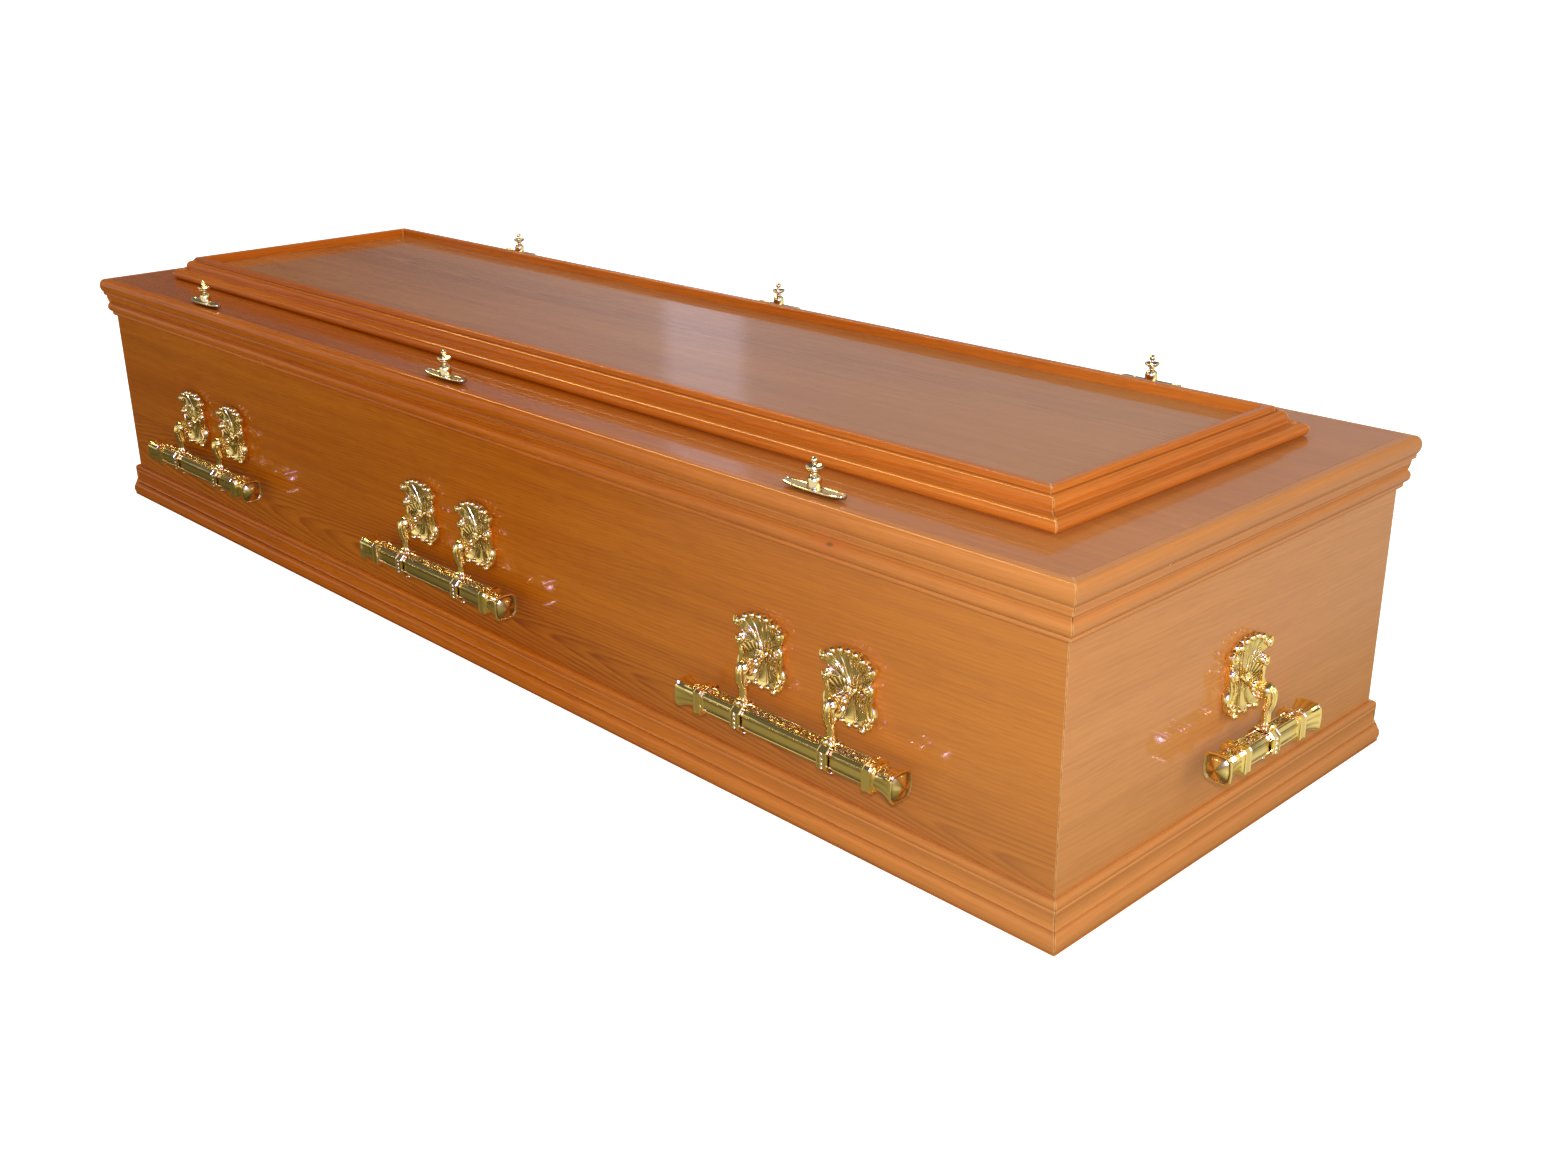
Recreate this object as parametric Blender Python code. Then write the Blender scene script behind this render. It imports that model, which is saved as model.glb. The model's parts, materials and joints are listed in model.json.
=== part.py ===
"""A straight-sided oak coffin with a lift-off lid, mitred mouldings and gilt fittings.

The coffin stands on the floor at z = 0 with its middle over the origin. Its length runs along X and its
width along Y. Front is -Y, back is +Y, left is -X and right is +X. All sizes are in metres.
"""

import math

import bmesh
import bpy

# Walls, boards and the gaps between them
CASE_LENGTH = 1.945
CASE_WIDTH = 0.600
CASE_HEIGHT = 0.3535
WALL_THICKNESS = 0.018
BOTTOM_THICKNESS = 0.018
LID_THICKNESS = 0.018
GLUE_GAP = 0.0003
LID_CLEARANCE = 0.0006

# Mouldings round the case and the lid
PLINTH_HEIGHT = 0.052
PLINTH_THICKNESS = 0.0125
RIM_HEIGHT = 0.034
RIM_THICKNESS = 0.0098
LID_EDGE_HEIGHT = 0.0258
LID_EDGE_THICKNESS = 0.0155

# Raised frame and sunk panel on the lid
FRAME_INSET = 0.0725
FRAME_WIDTH = 0.039
FRAME_HEIGHT = 0.0344
FRAME_BEAD = 0.0105
PANEL_RECESS = 0.013

# Thumbscrews, one row over each long wall
SCREW_FROM_END = 0.3205
SCREW_HEIGHT = 0.038
SCREW_BODY_RADIUS = 0.008
SCREW_CUP_RADIUS = 0.0093
SCREW_BALL_RADIUS = 0.0036
WASHER_LENGTH = 0.076
WASHER_WIDTH = 0.015
WASHER_HEIGHT = 0.0055

# Bar handles
HANDLE_FROM_END = 0.3205
BRACKET_SPACING = 0.128
SIDE_BAR_LENGTH = 0.326
END_BAR_LENGTH = 0.184
BAR_THICKNESS = 0.0245
BAR_REACH = 0.033
BAR_ABOVE_PLINTH = 0.068
CUFF_THICKNESS = 0.0295
CUFF_WIDTH = 0.012
TIP_LENGTH = 0.033
TIP_THICKNESS = 0.0325

# Cast bracket of a handle
SHELL_ABOVE_BAR = 0.066
SHELL_MIDDLE = 0.0045
SHELL_EDGE = 0.0010
ARM_ABOVE_BAR = 0.0560
ARM_RADIUS = 0.0056
ELBOW_RADIUS = 0.0074
BAND_WIDTH = 0.014
BAND_THICKNESS = 0.0026
BEAD_RADIUS = 0.0042

# Lobes of the shell plate, right half: degrees from straight up, half width in degrees,
# reach from the middle, rise off the wall
SHELL_LOBES = (
    (0.0, 4.5, 0.0430, 0.0080),
    (15.5, 4.5, 0.0440, 0.0082),
    (31.5, 4.8, 0.0450, 0.0085),
    (49.5, 5.5, 0.0465, 0.0095),
    (77.0, 8.0, 0.0350, 0.0100),
    (141.0, 11.0, 0.0450, 0.0098),
)
NOTCH_REACH = 0.87
NOTCH_RISE = 0.60
WAIST = (107.0, 0.0310, 0.0060)
FOOT = (180.0, 0.0420, 0.0055)

# Roundness of the turned and swept pieces
TURNED_SIDES = 10
SWEPT_SIDES = 6
ARC_STEPS = 4

# Levels and edges that follow from the sizes above
HALF_LENGTH = CASE_LENGTH / 2
HALF_WIDTH = CASE_WIDTH / 2
LID_UNDERSIDE = CASE_HEIGHT + GLUE_GAP
LID_TOP = LID_UNDERSIDE + LID_THICKNESS
LID_EDGE_UNDERSIDE = LID_TOP - LID_EDGE_HEIGHT
RIM_TOP = LID_EDGE_UNDERSIDE - GLUE_GAP
BAR_HEIGHT = PLINTH_HEIGHT + BAR_ABOVE_PLINTH
SIDES = ("front", "right", "back", "left")

# Base colour, roughness and metallic value of each finish
FINISHES = {
    "oak_panel": ((0.47, 0.19, 0.055), 0.22, 0.0),
    "oak_moulding": ((0.50, 0.18, 0.040), 0.20, 0.0),
    "gilt": ((0.83, 0.62, 0.25), 0.16, 1.0),
}


def clear_scene():
    """Remove every object that the file opened with."""
    for thing in list(bpy.data.objects):
        bpy.data.objects.remove(thing, do_unlink=True)


def make_material(name):
    """A plain Principled BSDF in one of the named finishes."""
    colour, roughness, metallic = FINISHES[name]
    material = bpy.data.materials.new(name)
    material.use_nodes = True
    shader = material.node_tree.nodes["Principled BSDF"]
    shader.inputs["Base Color"].default_value = (*colour, 1.0)
    shader.inputs["Roughness"].default_value = roughness
    shader.inputs["Metallic"].default_value = metallic
    return material


def mesh_from_faces(name, points, faces):
    """A mesh with all its faces turned outwards."""
    shape = bmesh.new()
    vertices = [shape.verts.new(point) for point in points]
    for face in faces:
        shape.faces.new([vertices[index] for index in face])
    bmesh.ops.recalc_face_normals(shape, faces=shape.faces)
    mesh = bpy.data.meshes.new(name)
    shape.to_mesh(mesh)
    shape.free()
    return mesh


def place(name, mesh, finish, location=(0.0, 0.0, 0.0), turn=0.0):
    """Put a mesh in the scene as a named piece, turned about the vertical."""
    piece = bpy.data.objects.new(name, mesh)
    piece.location = location
    piece.rotation_euler = (0.0, 0.0, turn)
    bpy.context.scene.collection.objects.link(piece)
    if not mesh.materials:
        mesh.materials.append(MATERIALS[finish])
    return piece


def shade_round(mesh, sharp_degrees=40.0):
    """Shade a rounded piece smooth and keep its real edges sharp."""
    mesh.shade_smooth()
    mesh.set_sharp_from_angle(angle=math.radians(sharp_degrees))


def loft(name, rings, closed=False):
    """Skin rings that all have the same number of points, with flat ends unless the loft is closed."""
    count = len(rings[0])
    points = [point for ring in rings for point in ring]
    last = len(rings) if closed else len(rings) - 1
    faces = []
    for row in range(last):
        here = row * count
        there = (row + 1) % len(rings) * count
        for column in range(count):
            beside = (column + 1) % count
            faces.append((here + column, here + beside, there + beside, there + column))
    if not closed:
        faces.append(tuple(range(count)))
        faces.append(tuple(range(len(points) - count, len(points))))
    return mesh_from_faces(name, points, faces)


def fuse(name, meshes):
    """Join overlapping closed meshes into one closed mesh."""
    pieces = [bpy.data.objects.new(f"{name}_{index}", mesh) for index, mesh in enumerate(meshes)]
    for piece in pieces:
        bpy.context.scene.collection.objects.link(piece)
    body = pieces[0]
    for other in pieces[1:]:
        joint = body.modifiers.new("join", "BOOLEAN")
        joint.operation = "UNION"
        joint.solver = "EXACT"
        joint.object = other
    graph = bpy.context.evaluated_depsgraph_get()
    joined = bpy.data.meshes.new_from_object(body.evaluated_get(graph))
    joined.name = name
    for piece in pieces:
        bpy.data.objects.remove(piece, do_unlink=True)
    return joined


def arc(middle_out, middle_up, radius_out, radius_up, start_degrees, end_degrees):
    """Points along an elliptical arc in a moulding's section."""
    points = []
    for step in range(ARC_STEPS + 1):
        angle = math.radians(start_degrees + (end_degrees - start_degrees) * step / ARC_STEPS)
        out = middle_out + radius_out * math.cos(angle)
        points.append((out, middle_up + radius_up * math.sin(angle)))
    return points


def box_mesh(name, low, high):
    """A board between two opposite corners."""
    plan = [(low[0], low[1]), (high[0], low[1]), (high[0], high[1]), (low[0], high[1])]
    return loft(name, [[(x, y, level) for x, y in plan] for level in (low[2], high[2])])


def mitred_length(name, section, half_length, half_width, side):
    """One of four lengths round a rectangle, its ends cut at 45 degrees.

    The section lists (out, up) points: out is the distance outside the rectangle, up is the height.
    The rectangle has the given half length along X and half width along Y.
    """
    turns = SIDES.index(side)
    along, across = (half_length, half_width) if turns % 2 == 0 else (half_width, half_length)
    end_cut = GLUE_GAP / math.sqrt(2)
    rings = []
    for way in (-1, 1):
        rings.append([(way * (along + out - end_cut), -(across + out), up) for out, up in section])
    cosine, sine = [(1, 0), (0, 1), (-1, 0), (0, -1)][turns]
    swung = []
    for ring in rings:
        swung.append([(x * cosine - y * sine, x * sine + y * cosine, z) for x, y, z in ring])
    return loft(name, swung)


def place_round_rectangle(prefix, section, half_length, half_width, finish):
    """Four mitred lengths that share one section, named after their sides."""
    for side in SIDES:
        name = f"{prefix}_{side}"
        mesh = mitred_length(name, section, half_length, half_width, side)
        shade_round(mesh)
        place(name, mesh, finish)


def wall_section():
    """A plain upright board, its outer face on the case's outline."""
    return [(0.0, 0.0), (0.0, CASE_HEIGHT), (-WALL_THICKNESS, CASE_HEIGHT), (-WALL_THICKNESS, 0.0)]


def plinth_section():
    """From the floor up: square foot, swelling ogee, fillet, shallow hollow and rounded top."""
    thick = PLINTH_THICKNESS
    tall = PLINTH_HEIGHT
    foot = [(GLUE_GAP, 0.0), (0.96 * thick, 0.0)]
    swell = arc(0.40 * thick, 0.14 * tall, 0.60 * thick, 0.28 * tall, 0, 72)
    fillet = [(0.42 * thick, 0.47 * tall), (0.36 * thick, 0.51 * tall)]
    hollow = [(0.36 * thick, 0.66 * tall), (0.48 * thick, 0.80 * tall)]
    top = arc(GLUE_GAP, 0.84 * tall, 0.50 * thick, 0.16 * tall, 0, 90)
    return foot + swell + fillet + hollow + top


def rim_section():
    """From below: rounded nose, hollow and a square fillet that meets the lid's edge."""
    bottom = RIM_TOP - RIM_HEIGHT
    thick = RIM_THICKNESS
    tall = RIM_HEIGHT
    nose = arc(0.30 * thick, bottom + 0.36 * tall, 0.66 * thick, 0.36 * tall, -80, 62)
    hollow = [(0.56 * thick, bottom + 0.72 * tall), (0.64 * thick, bottom + 0.80 * tall)]
    fillet = [(0.88 * thick, bottom + 0.86 * tall), (0.90 * thick, RIM_TOP)]
    return [(GLUE_GAP, bottom)] + nose + hollow + fillet + [(GLUE_GAP, RIM_TOP)]


def lid_edge_section():
    """A full nose between the flat top and a narrow flat underside."""
    inner = LID_CLEARANCE
    middle = LID_EDGE_UNDERSIDE + 0.55 * LID_EDGE_HEIGHT
    reach = 0.45 * LID_EDGE_THICKNESS
    under = arc(LID_EDGE_THICKNESS - reach, middle, reach, middle - LID_EDGE_UNDERSIDE, -80, 0)
    over = arc(LID_EDGE_THICKNESS - reach, middle, reach, LID_TOP - middle, 0, 84)
    return [(inner, LID_EDGE_UNDERSIDE)] + under + over[1:] + [(inner, LID_TOP)]


def raised_frame_section():
    """From the foot up: big round foot, ledge, second round, groove and a flat-topped ridge bead."""
    base = LID_TOP + GLUE_GAP
    top = LID_TOP + FRAME_HEIGHT
    rise = top - base
    wide = FRAME_WIDTH
    flat = [(-wide, base), (-0.08 * wide, base)]
    foot = arc(-0.19 * wide, base + 0.19 * rise, 0.19 * wide, 0.20 * rise, -50, 95)
    ledge = [(-0.46 * wide, base + 0.43 * rise)]
    second = arc(-0.62 * wide, base + 0.58 * rise, 0.16 * wide, 0.24 * rise, 0, 90)
    bead = -wide + FRAME_BEAD
    groove = [(bead + 0.3 * FRAME_BEAD, base + 0.80 * rise)]
    ridge = [(bead + 0.05 * FRAME_BEAD, base + 0.86 * rise), (bead, base + 0.96 * rise)]
    crest = [(bead - 0.15 * FRAME_BEAD, top), (-wide + 0.12 * FRAME_BEAD, top)]
    inside = [(-wide, base + 0.96 * rise)]
    return flat + foot + ledge + second + groove + ridge + crest + inside


def make_case():
    """Bottom board, four mitred walls, and the mouldings at the foot and the top of the walls."""
    inner_length = HALF_LENGTH - WALL_THICKNESS - GLUE_GAP
    inner_width = HALF_WIDTH - WALL_THICKNESS - GLUE_GAP
    low = (-inner_length, -inner_width, 0.0)
    high = (inner_length, inner_width, BOTTOM_THICKNESS)
    place("bottom_board", box_mesh("bottom_board", low, high), "oak_panel")
    for side in SIDES:
        name = ("side_panel_" if side in ("front", "back") else "end_panel_") + side
        place(name, mitred_length(name, wall_section(), HALF_LENGTH, HALF_WIDTH, side), "oak_panel")
    place_round_rectangle("plinth", plinth_section(), HALF_LENGTH, HALF_WIDTH, "oak_moulding")
    place_round_rectangle("rim", rim_section(), HALF_LENGTH, HALF_WIDTH, "oak_moulding")


def make_lid():
    """Lid board with its nosed edge, and the raised frame and sunk panel that stand on it."""
    overlap = LID_CLEARANCE - GLUE_GAP
    low = (-HALF_LENGTH - overlap, -HALF_WIDTH - overlap, LID_UNDERSIDE)
    high = (HALF_LENGTH + overlap, HALF_WIDTH + overlap, LID_TOP)
    place("lid_board", box_mesh("lid_board", low, high), "oak_panel")
    place_round_rectangle("lid_edge", lid_edge_section(), HALF_LENGTH, HALF_WIDTH, "oak_moulding")
    frame_length = HALF_LENGTH - FRAME_INSET
    frame_width = HALF_WIDTH - FRAME_INSET
    section = raised_frame_section()
    place_round_rectangle("raised_frame", section, frame_length, frame_width, "oak_moulding")
    panel_length = frame_length - FRAME_WIDTH - GLUE_GAP
    panel_width = frame_width - FRAME_WIDTH - GLUE_GAP
    low = (-panel_length, -panel_width, LID_TOP + GLUE_GAP)
    high = (panel_length, panel_width, LID_TOP + FRAME_HEIGHT - PANEL_RECESS)
    place("raised_panel", box_mesh("raised_panel", low, high), "oak_panel")


def turned(name, section):
    """Turn a section of (radius, height) points about the vertical, closed at both ends."""
    rings = []
    for radius, height in section:
        angles = [2 * math.pi * step / TURNED_SIDES for step in range(TURNED_SIDES)]
        rings.append([(radius * math.cos(angle), radius * math.sin(angle), height) for angle in angles])
    return loft(name, rings)


def screw_section():
    """Bell body, neck, flared cup, stem and ball, from the washer up."""
    body = SCREW_BODY_RADIUS
    cup = SCREW_CUP_RADIUS
    ball = SCREW_BALL_RADIUS
    tall = SCREW_HEIGHT
    brim = 0.73 * tall
    ball_middle = tall - ball
    shoulder = [(body, 0.5 * WASHER_HEIGHT), (body, 0.30 * tall), (0.84 * body, 0.42 * tall)]
    waist = [(0.30 * body, 0.50 * tall), (0.30 * body, 0.55 * tall)]
    saucer = [(0.62 * cup, 0.62 * tall), (cup, brim), (0.88 * cup, brim), (0.5 * ball, 0.64 * tall)]
    knob = []
    for degrees in (-55, 0, 45):
        angle = math.radians(degrees)
        knob.append((ball * math.cos(angle), ball_middle + ball * math.sin(angle)))
    return shoulder + waist + saucer + knob + [(0.2 * ball, tall)]


def washer_mesh():
    """A boat-shaped bar: flat deck, keel rising towards two blunt tips that lift a little."""
    rings = []
    for share in (-1.0, -0.86, -0.5, 0.0, 0.5, 0.86, 1.0):
        away = abs(share)
        half = 0.5 * WASHER_WIDTH * (1 - 0.58 * away**4)
        deck = WASHER_HEIGHT * (0.80 + 0.20 * away)
        keel = GLUE_GAP + 0.58 * WASHER_HEIGHT * away**1.6
        outline = [(-half, deck), (half, deck), (0.55 * half, keel), (-0.55 * half, keel)]
        rings.append([(0.5 * WASHER_LENGTH * share, y, z) for y, z in outline])
    return loft("washer", rings)


def make_thumbscrews():
    """Three thumbscrews over each long wall, their washers in line with the wall."""
    mesh = fuse("thumbscrew", [turned("screw", screw_section()), washer_mesh()])
    shade_round(mesh)
    outer = HALF_LENGTH - SCREW_FROM_END
    row = HALF_WIDTH - WALL_THICKNESS / 2
    for side, way in (("front", -1), ("back", 1)):
        for number, along in enumerate((-outer, 0.0, outer), start=1):
            place(f"thumbscrew_{side}_{number}", mesh, "gilt", (along, way * row, LID_TOP))


def octagon(half, corner):
    """An upright eight-sided section of the given half thickness; corner is the share cut off."""
    flat = half * (1 - corner)
    right = [(flat, -half), (half, -flat), (half, flat), (flat, half)]
    left = [(-flat, half), (-half, flat), (-half, -flat), (-flat, -half)]
    return right + left


def bar_mesh(name, length):
    """A faceted bar along X with a square cuff and a flared, pointed tip at both ends."""
    bar = BAR_THICKNESS / 2
    cuff = CUFF_THICKNESS / 2
    tip = TIP_THICKNESS / 2
    stations = [
        (0.0, 0.30 * tip, 0.3),
        (0.12 * TIP_LENGTH, tip, 0.25),
        (0.34 * TIP_LENGTH, 0.5 * (tip + bar), 0.3),
        (0.96 * TIP_LENGTH, 0.98 * bar, 0.4),
        (TIP_LENGTH, cuff, 0.25),
        (TIP_LENGTH + CUFF_WIDTH, cuff, 0.25),
        (TIP_LENGTH + 1.06 * CUFF_WIDTH, bar, 0.42),
    ]
    rings = []
    for way in (-1, 1):
        half_rings = []
        for inward, half, corner in stations:
            along = way * (length / 2 - inward)
            half_rings.append([(along, y, z) for y, z in octagon(half, corner)])
        rings.extend(half_rings if way < 0 else reversed(half_rings))
    return loft(name, rings)


def shell_outline():
    """Lobes, notches, waist and foot round the whole plate, in order, as (degrees, reach, rise)."""
    right = []
    for before, after in zip(SHELL_LOBES, SHELL_LOBES[1:]):
        notch = (
            (before[0] + after[0]) / 2,
            NOTCH_REACH * (before[2] + after[2]) / 2,
            NOTCH_RISE * (before[3] + after[3]) / 2,
        )
        right.append((before[0] + before[1], before[2], before[3]))
        right.append(WAIST if after is SHELL_LOBES[-1] else notch)
        right.append((after[0] - after[1], after[2], after[3]))
    degrees, half_width, reach, rise = SHELL_LOBES[-1]
    right.append((degrees + half_width, reach, rise))
    left = [(-degrees, reach, rise) for degrees, reach, rise in reversed(right)]
    return right + [FOOT] + left


def arm_rings():
    """Rings of the arm: out of the shell's middle, round a swollen elbow and down into the band."""
    bend = 0.30 * BAR_REACH
    swell = ((75, ELBOW_RADIUS), (40, 1.06 * ELBOW_RADIUS), (5, 0.95 * ELBOW_RADIUS))
    stations = [
        (-SHELL_MIDDLE, 0.5 * (SHELL_ABOVE_BAR + ARM_ABOVE_BAR), 1.5 * ARM_RADIUS, 90),
        (-0.42 * BAR_REACH, ARM_ABOVE_BAR, 1.05 * ARM_RADIUS, 90),
    ]
    for degrees, radius in swell:
        angle = math.radians(degrees)
        out = BAR_REACH - bend + bend * math.cos(angle)
        up = ARM_ABOVE_BAR - bend + bend * math.sin(angle)
        stations.append((-out, up, radius, degrees))
    leg_foot = BAR_THICKNESS / 2 + GLUE_GAP + 0.5 * BAND_THICKNESS
    leg_length = ARM_ABOVE_BAR - bend - leg_foot
    stations.append((-BAR_REACH, leg_foot + 0.50 * leg_length, 0.85 * ARM_RADIUS, 0))
    stations.append((-BAR_REACH, leg_foot, 1.35 * ARM_RADIUS, 0))
    rings = []
    for out, up, radius, tilt_degrees in stations:
        tilt = math.radians(tilt_degrees)
        ring = []
        for step in range(SWEPT_SIDES):
            angle = 2 * math.pi * (step + 0.5) / SWEPT_SIDES
            across = radius * math.sin(angle)
            off = radius * math.cos(angle)
            ring.append((across, out - off * math.cos(tilt), up + off * math.sin(tilt)))
        rings.append(ring)
    return rings


def shell_and_arm_mesh():
    """The plate and the arm in one skin.

    The plate is a dished scallop, its lobes lifted at their tips. Its flutes run to the root of the arm
    that grows out of its middle.
    """
    outline = shell_outline()
    back = []
    edge = []
    for degrees, reach, rise in outline:
        across = math.sin(math.radians(degrees))
        up = math.cos(math.radians(degrees))
        back.append((0.92 * reach * across, -GLUE_GAP, SHELL_ABOVE_BAR + 0.92 * reach * up))
        edge.append((reach * across, -SHELL_EDGE - rise, SHELL_ABOVE_BAR + reach * up))
    rings = arm_rings()
    count = len(outline)
    root = 2 * count
    sides = SWEPT_SIDES
    points = back + edge + [point for ring in rings for point in ring]
    faces = [tuple(range(count))]
    nearest = [int((degrees % 360) * sides / 360) % sides for degrees, reach, rise in outline]
    for column in range(count):
        beside = (column + 1) % count
        faces.append((column, beside, count + beside, count + column))
        faces.append((count + column, count + beside, root + nearest[column]))
        if nearest[beside] != nearest[column]:
            faces.append((count + beside, root + nearest[beside], root + nearest[column]))
    for row in range(len(rings) - 1):
        here = root + row * sides
        there = here + sides
        for column in range(sides):
            beside = (column + 1) % sides
            faces.append((here + column, here + beside, there + beside, there + column))
    faces.append(tuple(range(len(points) - sides, len(points))))
    return mesh_from_faces("shell_and_arm", points, faces)


def band_mesh():
    """The flat band that holds the bar: an eight-sided ring."""
    inner = octagon(BAR_THICKNESS / 2 + GLUE_GAP, 0.42)
    outer = octagon(BAR_THICKNESS / 2 + GLUE_GAP + BAND_THICKNESS, 0.42)
    half = BAND_WIDTH / 2
    rings = []
    for across, outline in ((-half, inner), (half, inner), (half, outer), (-half, outer)):
        rings.append([(across, y - BAR_REACH, z) for y, z in outline])
    return loft("band", rings, closed=True)


def bead_mesh():
    """The small knob under the band."""
    radius = BEAD_RADIUS
    middle = -BAR_THICKNESS / 2 - GLUE_GAP - BAND_THICKNESS - 0.3 * radius
    shape = bmesh.new()
    bmesh.ops.create_icosphere(shape, subdivisions=1, radius=radius)
    bmesh.ops.translate(shape, vec=(0.0, -BAR_REACH, middle), verts=shape.verts)
    mesh = bpy.data.meshes.new("bead")
    shape.to_mesh(mesh)
    shape.free()
    return mesh


def make_handles():
    """Three bar handles on each long wall and one on each end, all from one bracket casting."""
    bracket = fuse("bracket", [shell_and_arm_mesh(), band_mesh(), bead_mesh()])
    shade_round(bracket)
    side_bar = bar_mesh("side_bar", SIDE_BAR_LENGTH)
    end_bar = bar_mesh("end_bar", END_BAR_LENGTH)
    outer = HALF_LENGTH - HANDLE_FROM_END
    for side, turn in (("front", 0.0), ("back", math.pi)):
        way = -1 if side == "front" else 1
        for number, along in enumerate((-outer, 0.0, outer), start=1):
            wall = (along, way * HALF_WIDTH, BAR_HEIGHT)
            bar = (along, way * (HALF_WIDTH + BAR_REACH), BAR_HEIGHT)
            place(f"handle_bar_{side}_{number}", side_bar, "gilt", bar, turn)
            for letter, offset in (("a", -BRACKET_SPACING / 2), ("b", BRACKET_SPACING / 2)):
                spot = (wall[0] + offset, wall[1], wall[2])
                place(f"handle_bracket_{side}_{number}{letter}", bracket, "gilt", spot, turn)
    for side, way in (("left", -1), ("right", 1)):
        wall = (way * HALF_LENGTH, 0.0, BAR_HEIGHT)
        bar = (way * (HALF_LENGTH + BAR_REACH), 0.0, BAR_HEIGHT)
        place(f"handle_bar_{side}", end_bar, "gilt", bar, way * math.pi / 2)
        place(f"handle_bracket_{side}", bracket, "gilt", wall, way * math.pi / 2)


clear_scene()
MATERIALS = {name: make_material(name) for name in FINISHES}
make_case()
make_lid()
make_thumbscrews()
make_handles()
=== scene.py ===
import json
import math

import bpy
import numpy as np
from mathutils import Matrix, Vector

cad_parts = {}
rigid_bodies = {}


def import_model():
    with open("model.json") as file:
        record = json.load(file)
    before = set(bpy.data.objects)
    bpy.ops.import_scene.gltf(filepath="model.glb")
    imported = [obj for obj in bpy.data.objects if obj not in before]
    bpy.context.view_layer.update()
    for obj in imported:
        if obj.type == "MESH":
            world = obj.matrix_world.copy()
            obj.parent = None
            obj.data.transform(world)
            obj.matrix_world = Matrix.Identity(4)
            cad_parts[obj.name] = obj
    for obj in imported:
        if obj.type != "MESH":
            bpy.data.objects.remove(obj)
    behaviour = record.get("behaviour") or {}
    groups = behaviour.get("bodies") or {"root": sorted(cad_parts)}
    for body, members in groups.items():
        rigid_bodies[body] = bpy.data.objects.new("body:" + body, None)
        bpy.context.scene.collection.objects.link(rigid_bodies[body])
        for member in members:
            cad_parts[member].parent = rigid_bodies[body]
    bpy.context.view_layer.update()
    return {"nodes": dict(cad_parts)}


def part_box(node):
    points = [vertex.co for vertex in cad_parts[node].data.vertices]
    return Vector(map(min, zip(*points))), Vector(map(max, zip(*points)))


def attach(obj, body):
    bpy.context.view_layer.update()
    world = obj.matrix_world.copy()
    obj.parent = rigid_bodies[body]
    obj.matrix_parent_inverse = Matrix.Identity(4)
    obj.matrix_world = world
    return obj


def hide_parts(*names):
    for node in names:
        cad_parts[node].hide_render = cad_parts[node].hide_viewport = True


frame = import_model()

# %% [markdown]
# An oak coffin is a plain box with a lift-off lid. What makes it handsome is what is put on it: mouldings
# round the foot, the top and the lid, a raised frame with a sunk panel, and bright gilt castings. The boards
# come from the CAD frame as they are. Every moulding and casting is worked out again here in fine steps, in
# the place of the plain solid that stands for it.

# %% Places read from the frame
HALF_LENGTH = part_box("end_panel_right")[1].x
HALF_WIDTH = -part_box("side_panel_front")[0].y
LID_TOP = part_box("lid_board")[1].z
LID_EDGE_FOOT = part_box("lid_edge_front")[0].z
FRAME_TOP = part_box("raised_frame_front")[1].z
FRAME_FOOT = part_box("raised_frame_front")[0].z
FRAME_OUTER = HALF_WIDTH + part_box("raised_frame_front")[0].y
RIM_FOOT, RIM_TOP = (corner.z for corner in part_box("rim_front"))
BAR_HEIGHT = sum(corner.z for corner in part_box("handle_bar_front_2")) / 2
BAR_OUT = -sum(corner.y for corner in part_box("handle_bar_front_2")) / 2 - HALF_WIDTH
BAR_HALF = 0.0245 / 2
GAP = 0.0003
SIDES = ("front", "right", "back", "left")
FACING = {side: turns * math.pi / 2 for side, turns in zip(SIDES, (0, 1, 2, -1))}
print(f"walls {HALF_LENGTH:.4f} and {HALF_WIDTH:.4f} from the middle, lid top {LID_TOP:.4f}, bar out {BAR_OUT:.4f}")

# %% [markdown]
# A surface here is a grid of points: rows run along a path and columns run round or across it. The whole grid
# is worked out with numpy at once. Two triangles or one quad join each square of neighbours, a closed end gets
# a small fan of triangles round its middle, and the volume of the closed shape tells if its faces point out.


# %% Grids of points into closed parts
def points_at(*values):
    """Points from arrays or plain numbers for x, y and z, which all stretch to one size."""
    return np.stack(np.broadcast_arrays(*values), -1)


def mm(*rows):
    """Numbers in millimetres, as metres."""
    return np.array(rows) / 1000


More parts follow.
